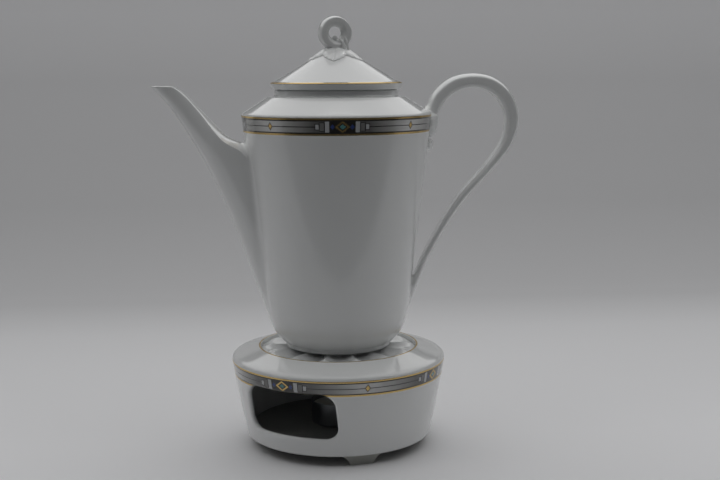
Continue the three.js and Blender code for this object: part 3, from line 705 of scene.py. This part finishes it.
def cavity_outline():
    w = POT_WALL
    floor = POT_FOOT_H + POT_FLOOR_T
    neck_h = POT_MOUTH_Z - POT_Z
    over = 3.0
    flare = 1.6
    keel = (POT_KEEL[0] - w, floor)
    bend_point = (POT_BEND[0] - w, POT_BEND[1] + w / 2)
    belly = (POT_BELLY[0] - w, POT_BELLY[1] + w / 2)
    corners = [
        (0, floor), keel, *bend(keel, bend_point, belly, 12), belly,
        (wall_radius(POT_EDGE[1] - w) - w, POT_EDGE[1] - w, 4), (POT_SHELF[0] - w, POT_SHELF[1] - w, 4),
        (POT_NECK_R - w, POT_SHELF[1] - w, 1), (POT_NECK_R - w, neck_h - flare, 2),
        (POT_NECK_R - w + flare, neck_h + 0.1), (POT_NECK_R - w + flare, neck_h + over), (0, neck_h + over)]
    return rounded(corners) + [0, POT_Z]


def edge_line(points, foot, top, throw, share):
    """Points (radius, height) in the plane of spout and handle."""
    out, up = along(points, share).T
    height = foot + up * (top - foot)
    return np.stack([wall_radius(height) + out * throw, POT_Z + height], axis=1)


def spout_rings(count, sides, inset):
    share = np.linspace(0, 1, count)
    throw = SPOUT_REACH - wall_radius(SPOUT_MOUTH_H)
    lower = edge_line(SPOUT_LOWER_EDGE, SPOUT_FOOT_H, SPOUT_MOUTH_H, throw, share)
    upper = edge_line(SPOUT_UPPER_EDGE, SPOUT_FOOT_H, SPOUT_MOUTH_H, throw, share)
    widths, crowns = along(SPOUT_HALF_WIDTHS, share)[:, 0], along(SPOUT_CROWNS, share)[:, 0]
    rings = []
    for low, high, width, crown in zip(lower, upper, widths, crowns):
        up = (high - low) / norm(high - low)
        depth = norm(high - low) - 2 * inset
        width = width - inset
        low = low + up * inset
        across = np.linspace(1, -1, 41)
        turn = np.linspace(0, math.pi, 61)[1:-1]
        side = np.concatenate([across * width, -np.cos(turn) * width])
        rise = np.concatenate([depth - crown * across ** 2,
                               (depth - crown) * (1 - np.sin(turn) ** SPOUT_KEEL_POWER)])
        section = blunted(np.stack([side, rise], axis=1), SPOUT_BLUR, sides)
        at = low + section[:, 1:] * up
        rings.append(np.stack([-at[:, 0], -section[:, 0], at[:, 1]], axis=1))
    return rings


def handle_rings(count, sides):
    share = np.linspace(0, 1, count)
    throw = HANDLE_REACH - wall_radius(HANDLE_REACH_H)
    line = edge_line(HANDLE_OUTER_LINE, HANDLE_FOOT_H, HANDLE_TOP_H, throw, share)
    tangent = np.gradient(line, axis=0)
    tangent /= norm(tangent, axis=1)[:, None]
    widths = along(HANDLE_HALF_WIDTHS, share)[:, 0]
    thicknesses = along(HANDLE_THICKNESSES, share)[:, 0]
    rings = []
    for at, (tx, tz), width, thick in zip(line, tangent, widths, thicknesses):
        outward = np.array([-tz, tx])
        inner = min(HANDLE_INNER_ROUND, (thick - HANDLE_CROWN) / 2)
        k = np.linspace(-1, 1, 25)
        section = [*zip(width * k, -HANDLE_CROWN * k ** 2), (width, inner - thick), (width - inner, -thick),
                   (inner - width, -thick), (-width, inner - thick)]
        section = blunted(section, HANDLE_BLUR, sides)
        point = at + section[:, 1:] * outward
        rings.append(np.stack([point[:, 0], -section[:, 0], point[:, 1]], axis=1))
    return rings


def leaf_piece(name, skin, root, widths, azimuth, rows=46, teeth=0.35, plump=(2.6, 0.6)):
    """A leaf over a surface of revolution, with its middle at an azimuth.

    Skin and root are lines of (radius, height) down its middle and its rim, and widths are half widths along
    it. Plump is the pair of powers that round it across.
    """
    def place(side, radius, height):
        a = radians(azimuth) + side / radius
        return radius * sin(a), -radius * cos(a), height

    columns, tooth_waves, bed = 40, 7, 0.8
    vein, vein_width, side_vein, slant, slant_waves = 0.5, 0.09, 0.4, 4, 3.2
    v = np.linspace(0, 1, rows)
    over, under = along(skin, v), along(root, v)
    half = along(widths, v)[:, 0]
    half = half + teeth * np.abs(np.sin(v * math.pi * tooth_waves)) * np.minimum(half / 4, 1)
    u = np.sin(np.linspace(-1, 1, columns) * math.pi / 2)
    swell = np.maximum(1 - np.abs(u) ** plump[0], 0) ** plump[1]
    rings = []
    for k in range(rows):
        up = over[k] - under[k]
        thick = norm(up)
        slanting = side_vein * np.abs(np.sin(slant_waves * (v[k] * slant - np.abs(u))))
        groove = vein * (np.exp(-(u / vein_width) ** 2) + slanting)
        rise = np.maximum(swell - groove * swell / np.maximum(thick, bed), 0)
        line = under[k] + rise[:, None] * up
        deep = under[k] - up / thick * bed
        top = [place(s * half[k], *p) for s, p in zip(u, line)]
        rings.append(top + [place(s * half[k], *deep) for s in u][::-1])
    return loft(name, rings)


# Lines down the middle of the two leaves at the handle's head, and down the wall under their rims
UPPER_LEAF_SKIN = (
    (61.5, 165.0), (64.2, 163.9), (67.6, 162.6), (70.2, 160.7), (70.9, 157.8), (70.3, 153.1), (69.2, 147.8),
    (67.4, 145.7), (65.0, 145.0))
UPPER_LEAF_ROOT = (
    (60.8, 163.6), (62.4, 162.7), (64.2, 161.5), (65.2, 159.2), (65.0, 156.6), (64.7, 152.8), (64.1, 148.4),
    (63.9, 146.0), (63.7, 144.6))
UPPER_LEAF_WIDTHS = (8.6, 9.8, 11.5, 13.3, 14.4, 14.2, 11.8, 7.2, 0.6)
LOWER_LEAF_SKIN = ((64.6, 144.2), (66.6, 143.4), (67.1, 141.6), (66.8, 138.6), (66.2, 136.2), (64.6, 135.2))
LOWER_LEAF_ROOT = ((63.6, 144.0), (63.5, 142.8), (63.3, 141.2), (63.0, 138.4), (62.8, 136.2), (62.7, 134.9))
LOWER_LEAF_WIDTHS = (7.0, 10.5, 11.8, 10.2, 6.0, 0.5)


def handle_leaves():
    for skin, root, widths in ((UPPER_LEAF_SKIN, UPPER_LEAF_ROOT, UPPER_LEAF_WIDTHS),
                               (LOWER_LEAF_SKIN, LOWER_LEAF_ROOT, LOWER_LEAF_WIDTHS)):
        lift = np.array([0, POT_Z])
        yield leaf_piece("handle_leaf", np.array(skin) + lift, np.array(root) + lift, widths, 90)


def strainer_holes():
    half = POT_WALL + STRAINER_PITCH / 2
    for row, count in STRAINER_ROWS:
        height = STRAINER_H + row * STRAINER_PITCH
        for i in range(count):
            hole = turned(rod("strainer_hole", STRAINER_HOLE_R, half, 24), 90, "Y")
            yield shifted(hole, -wall_radius(height), (i - (count - 1) / 2) * STRAINER_PITCH, POT_Z + height)


def make_pot(material):
    outline = pot_outline()
    body = revolve("pot_porcelain", stepped(outline, POT_SIDE), POT_STEPS)
    spout = loft("spout", spout_rings(110, 72, 0.0))
    bore = combine(loft("bore", spout_rings(80, 48, SPOUT_WALL)), "DIFFERENCE", copied(body))
    handle = loft("handle", handle_rings(170, 48))
    top = POT_Z + SPOUT_MOUTH_H
    above = shifted(revolve("above", rounded([(0, 0), (60, 0), (60, 60), (0, 60)]), 8), -110, 0, top)
    spout_skin, handle_skin = mesh_field(spout), mesh_field(handle)
    combine(body, "UNION", spout, handle)
    with_spout = blend(revolved_field(outline), spout_skin, SPOUT_CREASE)
    soften(body, blend(with_spout, handle_skin, HANDLE_CREASE), POT_DETAIL)
    combine(body, "UNION", *handle_leaves())
    cavity = revolve("cavity", stepped(cavity_outline(), 8), 120)
    combine(body, "DIFFERENCE", cavity, bore, *strainer_holes())
    combine(body, "DIFFERENCE", above)
    lip = blend(spout_skin, above_field(top), LIP_CREASE, cut=True)
    soften_near(body, lip, (-130, -20, top - 6), (-95, 20, top + 2), LIP_DETAIL)
    return finished(body, "pot", material,
                    ("pot_body", "pot_spout", "pot_handle", "handle_leaf_upper", "handle_leaf_lower"))


# Lid

def lid_outline():
    flange = POT_NECK_R - POT_WALL - LID_PLAY
    hollow = flange - LID_FLANGE_T
    edge, land = LID_RIM_H, LID_RIM_H + LID_LAND_RISE
    tip = CONE_TIP_Z - LID_Z
    under = tip - LID_WALL / cos(math.atan(LID_CONE_DROP))
    corners = [
        (hollow, -LID_FLANGE_H, 1.2), (flange, -LID_FLANGE_H, 1.2), (flange, 0, 0.4),
        (LID_RIM_R - LID_UNDERCUT, 0, 0.5), (LID_RIM_R, edge, 0.6), (LID_RIM_R - LID_LAND, land, 0.8),
        (0, tip), (0, under - STEM_R * LID_CONE_DROP), (STEM_R, under - STEM_R * LID_CONE_DROP, 2),
        (hollow, under - hollow * LID_CONE_DROP, 2)]
    return rounded(corners) + [0, LID_Z]


def ring_piece():
    outer, half = RING_R - RING_CROWN, RING_W / 2
    hole = RING_HOLE_R
    low, high = (outer, -half), (outer, half)
    inner_high, inner_low = (hole + RING_INNER_ROUND, half), (hole + RING_INNER_ROUND, -half)
    corners = [low, *bend(low, (outer + 2 * RING_CROWN, 0), high, 12), high,
               inner_high, *bend(inner_high, (hole - RING_INNER_ROUND, 0), inner_low, 12), inner_low]
    made = turned(revolve("ring", blunted(corners, RING_BLUR, 60), 128), 90, "X")
    return turned(shifted(made, RING_OFFSET, 0, RING_Z), LID_TURN)


def stem_piece():
    corners = [(0, -2 * STEM_H), (STEM_FLARE_R, -2 * STEM_H), (STEM_FLARE_R, -STEM_H),
               *bend((STEM_FLARE_R, -STEM_H), (STEM_R, -STEM_H), (STEM_R, 0), 6), (STEM_R, 0, 1), (0, 0)]
    return shifted(revolve("stem", rounded(corners), 64), 0, 0, CONE_TIP_Z)


LID_LEAVES, LID_LEAF_TURN = 5, -8  # azimuth of the first leaf
# Radius and height above the cone, down the middle of a leaf
LID_LEAF_SKIN = ((5.0, 1.0), (7.5, 1.8), (10.5, 2.1), (13.2, 1.9), (15.8, 1.5), (18.2, 1.1), (19.9, 0.7))
LID_LEAF_WIDTHS = (3.2, 6.2, 8.2, 8.0, 5.8, 2.8, 0.3)


def cone_z(radius):
    return CONE_TIP_Z - radius * LID_CONE_DROP


def lid_leaves():
    skin = np.array([(r, cone_z(r) + rise) for r, rise in LID_LEAF_SKIN])
    root = np.array([(r, cone_z(r) - 0.3) for r, _ in LID_LEAF_SKIN])
    for i in range(LID_LEAVES):
        azimuth = LID_LEAF_TURN + 360 * i / LID_LEAVES
        yield leaf_piece("lid_leaf", skin, root, LID_LEAF_WIDTHS, azimuth, 44, teeth=0.8, plump=(5.0, 0.5))


# Twigs over the ring's front: points (sideways, before the axis, above the cone's tip) and radii along them
TWIGS = ((((4.6, 8.4, -4.5), (4.0, 7.2, 0.2), (2.8, 5.9, 2.7), (1.5, 4.4, 4.0)), (1.0, 1.0, 0.8, 0.6)),
         (((7.2, 7.6, -5.0), (6.9, 6.8, 0.2), (6.2, 6.0, 3.2), (5.4, 5.2, 5.0)), (1.0, 0.9, 0.8, 0.4)))

TWIG_TAPER, TWIG_LEAST = 9, 0.05
BUD_R, BUD_HALF_H, BUD_SIDE, BUD_AHEAD, BUD_LIFT = 2.1, 2.4, 0.6, 1.4, 0.2


def twig_piece(points, radii):
    share = np.linspace(0, 1, 36)
    line, thick = along(points, share), along(radii, share)[:, 0]
    for from_end in (1 - share, share):
        thick = thick * np.sqrt(np.clip(from_end * TWIG_TAPER, TWIG_LEAST, 1))
    rings = []
    for (x, y, z), r in zip(line, thick):
        rings.append([(RING_OFFSET + x + r * cos(a), -y, CONE_TIP_Z + z + r * sin(a))
                      for a in np.linspace(0, 2 * math.pi, 14, endpoint=False)])
    return turned(loft("twig", rings), LID_TURN)


def bud_piece():
    turn = np.linspace(0, math.pi, 17)
    outline = [(max(sin(a), 0) * BUD_R, -cos(a) * BUD_HALF_H) for a in turn]
    bud = revolve("bud", np.array(outline), 32)
    shifted(bud, RING_OFFSET - BUD_SIDE, -BUD_AHEAD, RING_Z - RING_HOLE_R + BUD_LIFT)
    return turned(bud, LID_TURN)


def make_lid(material):
    outline = lid_outline()
    cone = revolve("lid_porcelain", stepped(outline, LID_SIDE), LID_STEPS)
    ring = ring_piece()
    stem = stem_piece()
    ring_skin, stem_skin = mesh_field(ring), mesh_field(stem)
    ring_hole = turned(rod("ring_hole", RING_HOLE_R, 20, 64), 90, "X")
    turned(shifted(ring_hole, RING_OFFSET, 0, RING_Z), LID_TURN)
    finial = combine(combine(stem, "DIFFERENCE", ring_hole), "UNION", ring)
    combine(cone, "UNION", finial)
    with_stem = blend(revolved_field(outline), stem_skin, STEM_CREASE)
    field = blend(with_stem, ring_skin, RING_CREASE)
    soften_near(cone, field, (-16, -16, LID_Z + 16), (16, 16, RING_Z - RING_HOLE_R - 0.5), LID_DETAIL)
    combine(cone, "UNION", bud_piece(), *[twig_piece(*twig) for twig in TWIGS], *lid_leaves())
    vent = rod("vent", VENT_R, 8, 24)
    shifted(vent, 0, VENT_REACH, CONE_TIP_Z - VENT_REACH * LID_CONE_DROP - LID_WALL / 2)
    combine(cone, "DIFFERENCE", turned(vent, LID_TURN))
    leaves = [f"lid_leaf_{i}" for i in range(1, LID_LEAVES + 1)]
    return finished(cone, "lid", material, ("lid_body", "lid_ring", "lid_bud", *leaves))


# Warmer

def side_radius(z):
    return WARMER_BASE_R + (WARMER_R - WARMER_BASE_R) * (z - FEET_H) / (BAND_TOP_Z - FEET_H)


def warmer_outline():
    ledge = STAR_UNDER_Z - SEAT_GAP
    ceiling = ledge - CEILING_T
    low_bend = ceiling - CEILING_BEND
    middle = (FEET_H + BAND_TOP_Z) / 2
    top_r, top_z = WARMER_R - WARMER_EDGE_ROUND, BAND_TOP_Z + WARMER_EDGE_H
    slope = (RIM_Z - top_z) / (top_r - RECESS_R - RIM_LAND)
    start = (WARMER_BASE_R - BASE_ROUND, FEET_H)
    base = (side_radius(FEET_H + BASE_ROUND), FEET_H + BASE_ROUND)
    band = (WARMER_R, BAND_TOP_Z)
    corners = [
        (WARMER_BASE_R - WARMER_WALL - FLOOR_LEDGE, FEET_H, 1), start,
        *bend(start, (WARMER_BASE_R, FEET_H), base, 6), base,
        *bend(base, (side_radius(middle) + WARMER_BULGE, middle), band, 20), band,
        *bend(band, (WARMER_R, top_z - WARMER_EDGE_ROUND * slope), (top_r, top_z), 12), (top_r, top_z),
        (RECESS_R + RIM_LAND, RIM_Z, 1.0), (RECESS_R, RIM_Z, 0.8), (RECESS_R, ledge),
        (RECESS_R - STAR_LEDGE, ledge), (RECESS_R - STAR_LEDGE, ceiling, 2),
        (side_radius(ceiling) - WARMER_WALL - CEILING_BEND, ceiling, 6),
        (side_radius(low_bend) - WARMER_WALL, low_bend, 6),
        (WARMER_BASE_R - WARMER_WALL, FEET_H + FLOOR_LEDGE_H),
        (WARMER_BASE_R - WARMER_WALL - FLOOR_LEDGE, FEET_H + FLOOR_LEDGE_H, 0.8)]
    return rounded(corners)


def window_cutter():
    w, h, r = WINDOW_W / 2, WINDOW_HIGH_Z - WINDOW_LOW_Z, WINDOW_CORNER_R
    outline = rounded([(-w, 0, r), (w, 0, r), (w, h, r), (-w, h, r)], 5.0)
    outline = stepped(outline, 1.5)
    rings = [[(x, -y, z + WINDOW_LOW_Z) for x, z in outline] for y in np.linspace(20, 90, 36)]
    return turned(loft("window", rings), TURN)


def star_height(radius, share):
    """Height of the star at a share from -1 to 1 across one flute. The ridges are blunted a little."""
    inward = max(0.0, min((RECESS_R - radius) / STAR_SHOULDER, 1.0))
    across = (1 + RIDGE_BLUNT - math.sqrt(share ** 4 + RIDGE_BLUNT ** 2)) / (1 + RIDGE_BLUNT)
    return RIM_Z - RECESS_DEPTH * (1 - inward) ** 2 - FLUTE_DEPTH * inward * across


def star_piece():
    facets = 24
    steps = FLUTES * facets
    reach = RECESS_R + STAR_OVERLAP
    radii = np.concatenate([[reach], np.linspace(RECESS_R, RECESS_R - STAR_SHOULDER, 12),
                            np.linspace(RECESS_R - STAR_SHOULDER, HEAT_HOLE_R, 14)[1:]])
    vertices, faces = [], []
    count = len(radii) + 2
    for s in range(steps):
        a = radians(360 * (s - facets / 2) / steps + TURN + FLUTE_TURN)
        share = 2 * (s % facets) / facets - 1
        section = [(r, star_height(r, share)) for r in radii]
        section += [(HEAT_HOLE_R, STAR_UNDER_Z), (reach, STAR_UNDER_Z)]
        vertices += [(r * sin(a), -r * cos(a), z) for r, z in section]
    for s in range(steps):
        for k in range(count):
            a, b = s * count + k, s * count + (k + 1) % count
            c, d = (a + count) % (steps * count), (b + count) % (steps * count)
            faces.append((a, c, d, b))
    return outwards(solid("star", vertices, faces))


def foot_piece(azimuth):
    outer = WARMER_BASE_R - FOOT_INSET
    rings = []
    for z, share in FOOT_ENDS:
        arc = FOOT_BOTTOM_ARC + share * (FOOT_TOP_ARC - FOOT_BOTTOM_ARC)
        ring = []
        for radius, way in ((outer, 1), (outer - FOOT_BAND, -1)):
            for i in range(13):
                a = radians(way * arc * (i / 12 - 0.5))
                ring.append((radius * sin(a), -radius * cos(a), z))
        rings.append(ring)
    return turned(loft("foot", rings), azimuth)


def make_warmer(material):
    outline = warmer_outline()
    wall = revolve("warmer_porcelain", stepped(outline, WARMER_SIDE), WARMER_STEPS)
    combine(wall, "DIFFERENCE", window_cutter())
    window = opening_field(WINDOW_W / 2, WINDOW_LOW_Z, WINDOW_HIGH_Z, WINDOW_CORNER_R, TURN)
    field = blend(revolved_field(outline), window, WINDOW_CREASE, cut=True)
    a = radians(TURN)
    ahead = np.array([sin(a), -cos(a), 0])

    def front(points):
        distance, direction, near = field(points)
        return distance, direction, near * (points @ ahead > 0)

    soften(wall, front, WINDOW_DETAIL)
    feet = [foot_piece(TURN + FEET_TURN + 360 * i / FEET) for i in range(FEET)]
    combine(wall, "UNION", star_piece(), *feet)
    names = ["warmer_wall", "warmer_star"] + [f"warmer_foot_{i}" for i in range(1, FEET + 1)]
    return finished(wall, "warmer", material, names)


def inside_piece(name, corners, steps, body, material):
    made = revolve(name, rounded(corners, 15), steps)
    return finished(made, body, material, (name,))


def round_box(node):
    """Radius, lowest and highest height of a frame node."""
    low, high = node_box(node)
    return high[0], low[2], high[2]


def make_tealight():
    """The floor of the warmer, and cup, wax, sustainer and wick of the light that stands on it."""
    r, z0, z1 = round_box("warmer_floor")
    # Painted shade: the warmer's floor is a dark grey that stands for the shade inside the closed warmer.
    painted_floor_shade = speckled("painted_floor_shade", (0.24, 0.24, 0.23), (0.30, 0.30, 0.285), 160, 0.6)
    floor = [(0, z0), (r, z0, 0.5), (r, z1, 0.5), (0, z1)]
    inside_piece("warmer_floor", floor, 200, "warmer", painted_floor_shade)

    r, z0, z1 = round_box("tealight_cup")
    rim, thin = 0.5, 0.5
    cup = [(0, z0), (r - rim - 0.8, z0), (r - rim, z0 + 0.8, 0.3), (r - rim, z1 - rim), (r, z1 - rim, 0.2),
           (r, z1, 0.2), (r - rim - thin, z1, 0.2), (r - rim - thin, z0 + thin), (0, z0 + thin)]
    # Painted shade: the tea light's metal is a dark grey, far darker than bright aluminium, that stands for
    # the shade inside the warmer; the cup and the sustainer share it.
    shaded_metal = speckled("cup_metal", (0.30, 0.31, 0.33), (0.40, 0.41, 0.43), 90, 0.28, 1.0)
    inside_piece("tealight_cup", cup, 96, "tealight", shaded_metal)

    r, z0, z1 = round_box("tealight_wax")
    socket, collar, hole = 7.3, 2.2, 1.15
    low, high = z0 + 0.8, z0 + 3.5
    wax = [(socket, z0), (r, z0), (r, z1, 0.5), (hole, z1, 0.2), (hole, high), (collar, high),
           (collar, low), (socket, low)]
    stuff = speckled("wax", (0.80, 0.78, 0.70), (0.86, 0.84, 0.77), 120, 0.45)
    inside_piece("tealight_wax", wax, 96, "tealight", stuff)

    r, z0, z1 = round_box("wick_sustainer")
    plate = [(hole, z0), (r, z0), (r, z0 + 0.5, 0.1), (1.9, z0 + 0.5, 0.2), (1.9, z1, 0.1), (hole, z1, 0.1)]
    inside_piece("wick_sustainer", plate, 48, "tealight", shaded_metal)

    r, z0, z1 = round_box("wick")
    cotton = speckled("cotton", (0.70, 0.66, 0.55), (0.84, 0.81, 0.72), 700, 0.85, strength=0.5)
    string = [(0, z0), (r, z0, 0.1), (r, z1, 0.3), (0, z1)]
    inside_piece("wick", string, 24, "tealight", cotton)


# Stage

# Painted light and shade on the backdrop: its tone at its depth plus its height, in metres, lightest at the
# floor's front, darker towards the back and up the sweep, lighter again at the top
PAINTED_LIGHT_TONES = ((-0.075, 0.80), (0.0, 0.78), (0.158, 0.69), (0.35, 0.60), (0.51, 0.47),
         (0.685, 0.455), (0.855, 0.44), (1.0, 0.48), (1.13, 0.54), (1.24, 0.68))
TONES_FROM, TONES_OVER, BLUER, GRAIN = -0.1, 1.4, 1.015, 0.12
STAGE_HALF, STAGE_FRONT, STAGE_BACK, STAGE_TOP, STAGE_SWEEP = 2.4, -0.34, 0.9, 0.4, 0.35


def make_stage():
    paint = Paint("backdrop")
    place = paint.out("TexCoord", {}, {}, output=3)
    split = paint.node("SeparateXYZ", {}, [place])
    reach = Value(paint, split.outputs[1]) + Value(paint, split.outputs[2])
    grain = paint.out("TexNoise", {}, {"Vector": place, "Scale": 900.0, "Detail": 2.0})
    stops = [((at - TONES_FROM) / TONES_OVER, (tone, tone, tone * BLUER)) for at, tone in PAINTED_LIGHT_TONES]
    # Painted light and shade: the backdrop's colour follows this ramp of depth plus height.
    tone = paint.out("ValToRGB", {"stops": stops}, [(reach - TONES_FROM) / TONES_OVER])
    lighter = paint.mix(0.1, tone, (0.58, 0.58, 0.59))
    paint.set(Base_Color=paint.mix(grain * GRAIN, tone, lighter), Roughness=0.75)
    bend_y = STAGE_BACK - STAGE_SWEEP
    profile = [(STAGE_FRONT, 0.0), (bend_y, 0.0)]
    profile += [(bend_y + STAGE_SWEEP * sin(a), STAGE_SWEEP * (1 - cos(a)))
                for a in np.radians(np.linspace(0, 90, 24))[1:]]
    profile.append((STAGE_BACK, STAGE_TOP))
    vertices = [(x, y, z) for y, z in profile for x in (-STAGE_HALF, STAGE_HALF)]
    faces = [(2 * i, 2 * i + 1, 2 * i + 3, 2 * i + 2) for i in range(len(profile) - 1)]
    backdrop = solid("backdrop", vertices, faces)
    backdrop.data.shade_smooth()
    backdrop.data.materials.append(paint.material)


# Name, place, target, size and power of each soft lamp, in metres and watts
LAMPS = (("top", (0.05, 0.62, 1.05), (0.05, 0.62, 0), (3.0, 2.5), 20.2),
         ("left", (-1.0, 0.3, 0.95), (0, 0.1, 0.3), (1.6, 1.1), 0.15),
         ("right", (1.0, 0.3, 0.95), (0, 0.1, 0.3), (1.6, 1.1), 0.5))
STRIPS, STRIP_REACH, STRIP_Y, STRIP_Z, STRIP_SIZE, STRIP_POWER = 33, 0.36, 0.2, 0.82, 0.005, 0.0015
DIM, DIM_POWER, PALE_AIR = (0.95, 0.97, 1.0), 0.05, (0.28, 0.28, 0.285)


def lamp(name, place, target, size, power):
    data = bpy.data.lights.new(name, "AREA")
    data.shape, data.size, data.size_y, data.energy = "RECTANGLE", *size, power
    made = bpy.data.objects.new(name, data)
    made.location = place
    made.rotation_mode = "QUATERNION"
    made.rotation_quaternion = (Vector(target) - Vector(place)).to_track_quat("-Z", "Y")
    bpy.context.scene.collection.objects.link(made)


def make_world():
    """Dim light from all round, and a pale look for the camera past the backdrop."""
    world = bpy.data.worlds.new("studio")
    bpy.context.scene.world = world
    world.use_nodes = True
    air = Nodes(world.node_tree)
    dim = air.tree.nodes["Background"]
    air.join(DIM, dim.inputs[0])
    air.join(DIM_POWER, dim.inputs[1])
    pale = air.out("Background", {}, [PALE_AIR, 1.0])
    camera_ray = air.out("LightPath", {}, {}, output="Is Camera Ray")
    shown = air.out("MixShader", {}, [camera_ray, Value(air, dim.outputs[0]), pale])
    air.join(shown, air.tree.nodes["World Output"].inputs[0])


def make_lights():
    for soft_lamp in LAMPS:
        lamp(*soft_lamp)
    for k in range(STRIPS):
        x = STRIP_REACH * (2 * k / (STRIPS - 1) - 1)
        lamp("strip", (x, STRIP_Y, STRIP_Z), (x, STRIP_Y, 0), (STRIP_SIZE, STRIP_SIZE), STRIP_POWER)


LENS, SENSOR = 59.03, 36.0
CAMERA_AT, HEADING, TILT, ROLL = (-0.0485, -0.8177, 0.2632), 4.5, 8.325, -0.31


def make_camera():
    data = bpy.data.cameras.new("camera")
    data.lens, data.sensor_width = LENS, SENSOR
    data.clip_start, data.clip_end = 0.05, 20
    made = bpy.data.objects.new("camera", data)
    turn = (Matrix.Rotation(radians(-HEADING), 4, "Z") @ Matrix.Rotation(radians(90 - TILT), 4, "X")
            @ Matrix.Rotation(radians(ROLL), 4, "Z"))
    made.matrix_world = Matrix.Translation(CAMERA_AT) @ turn
    bpy.context.scene.collection.objects.link(made)
    bpy.context.scene.camera = made


make_camera()
make_world()
make_lights()
make_stage()
bpy.context.scene.view_settings.view_transform = "Standard"

LID_GOLD = ((43.4, 46), (252.4, 254.2))
WARMER_GOLD = ((55.0, 56.2), (69.0, 70.5))
pot_band = printed_band((65.6, 230.65), (64.4, 220.5), 1.2, 0.9, 0.0, bare=13.0)
pot_glaze = porcelain("pot_glaze", band=pot_band)
lid_glaze = porcelain("lid_glaze", [LID_GOLD])
warmer_band = printed_band((75.0, 60.7), (73.6, 51.3), 1.1, 0.8, TURN)
warmer_glaze = porcelain("warmer_glaze", [WARMER_GOLD], warmer_band, unglazed=FEET_H + 0.4)
make_pot(pot_glaze)
make_lid(lid_glaze)
make_warmer(warmer_glaze)
make_tealight()
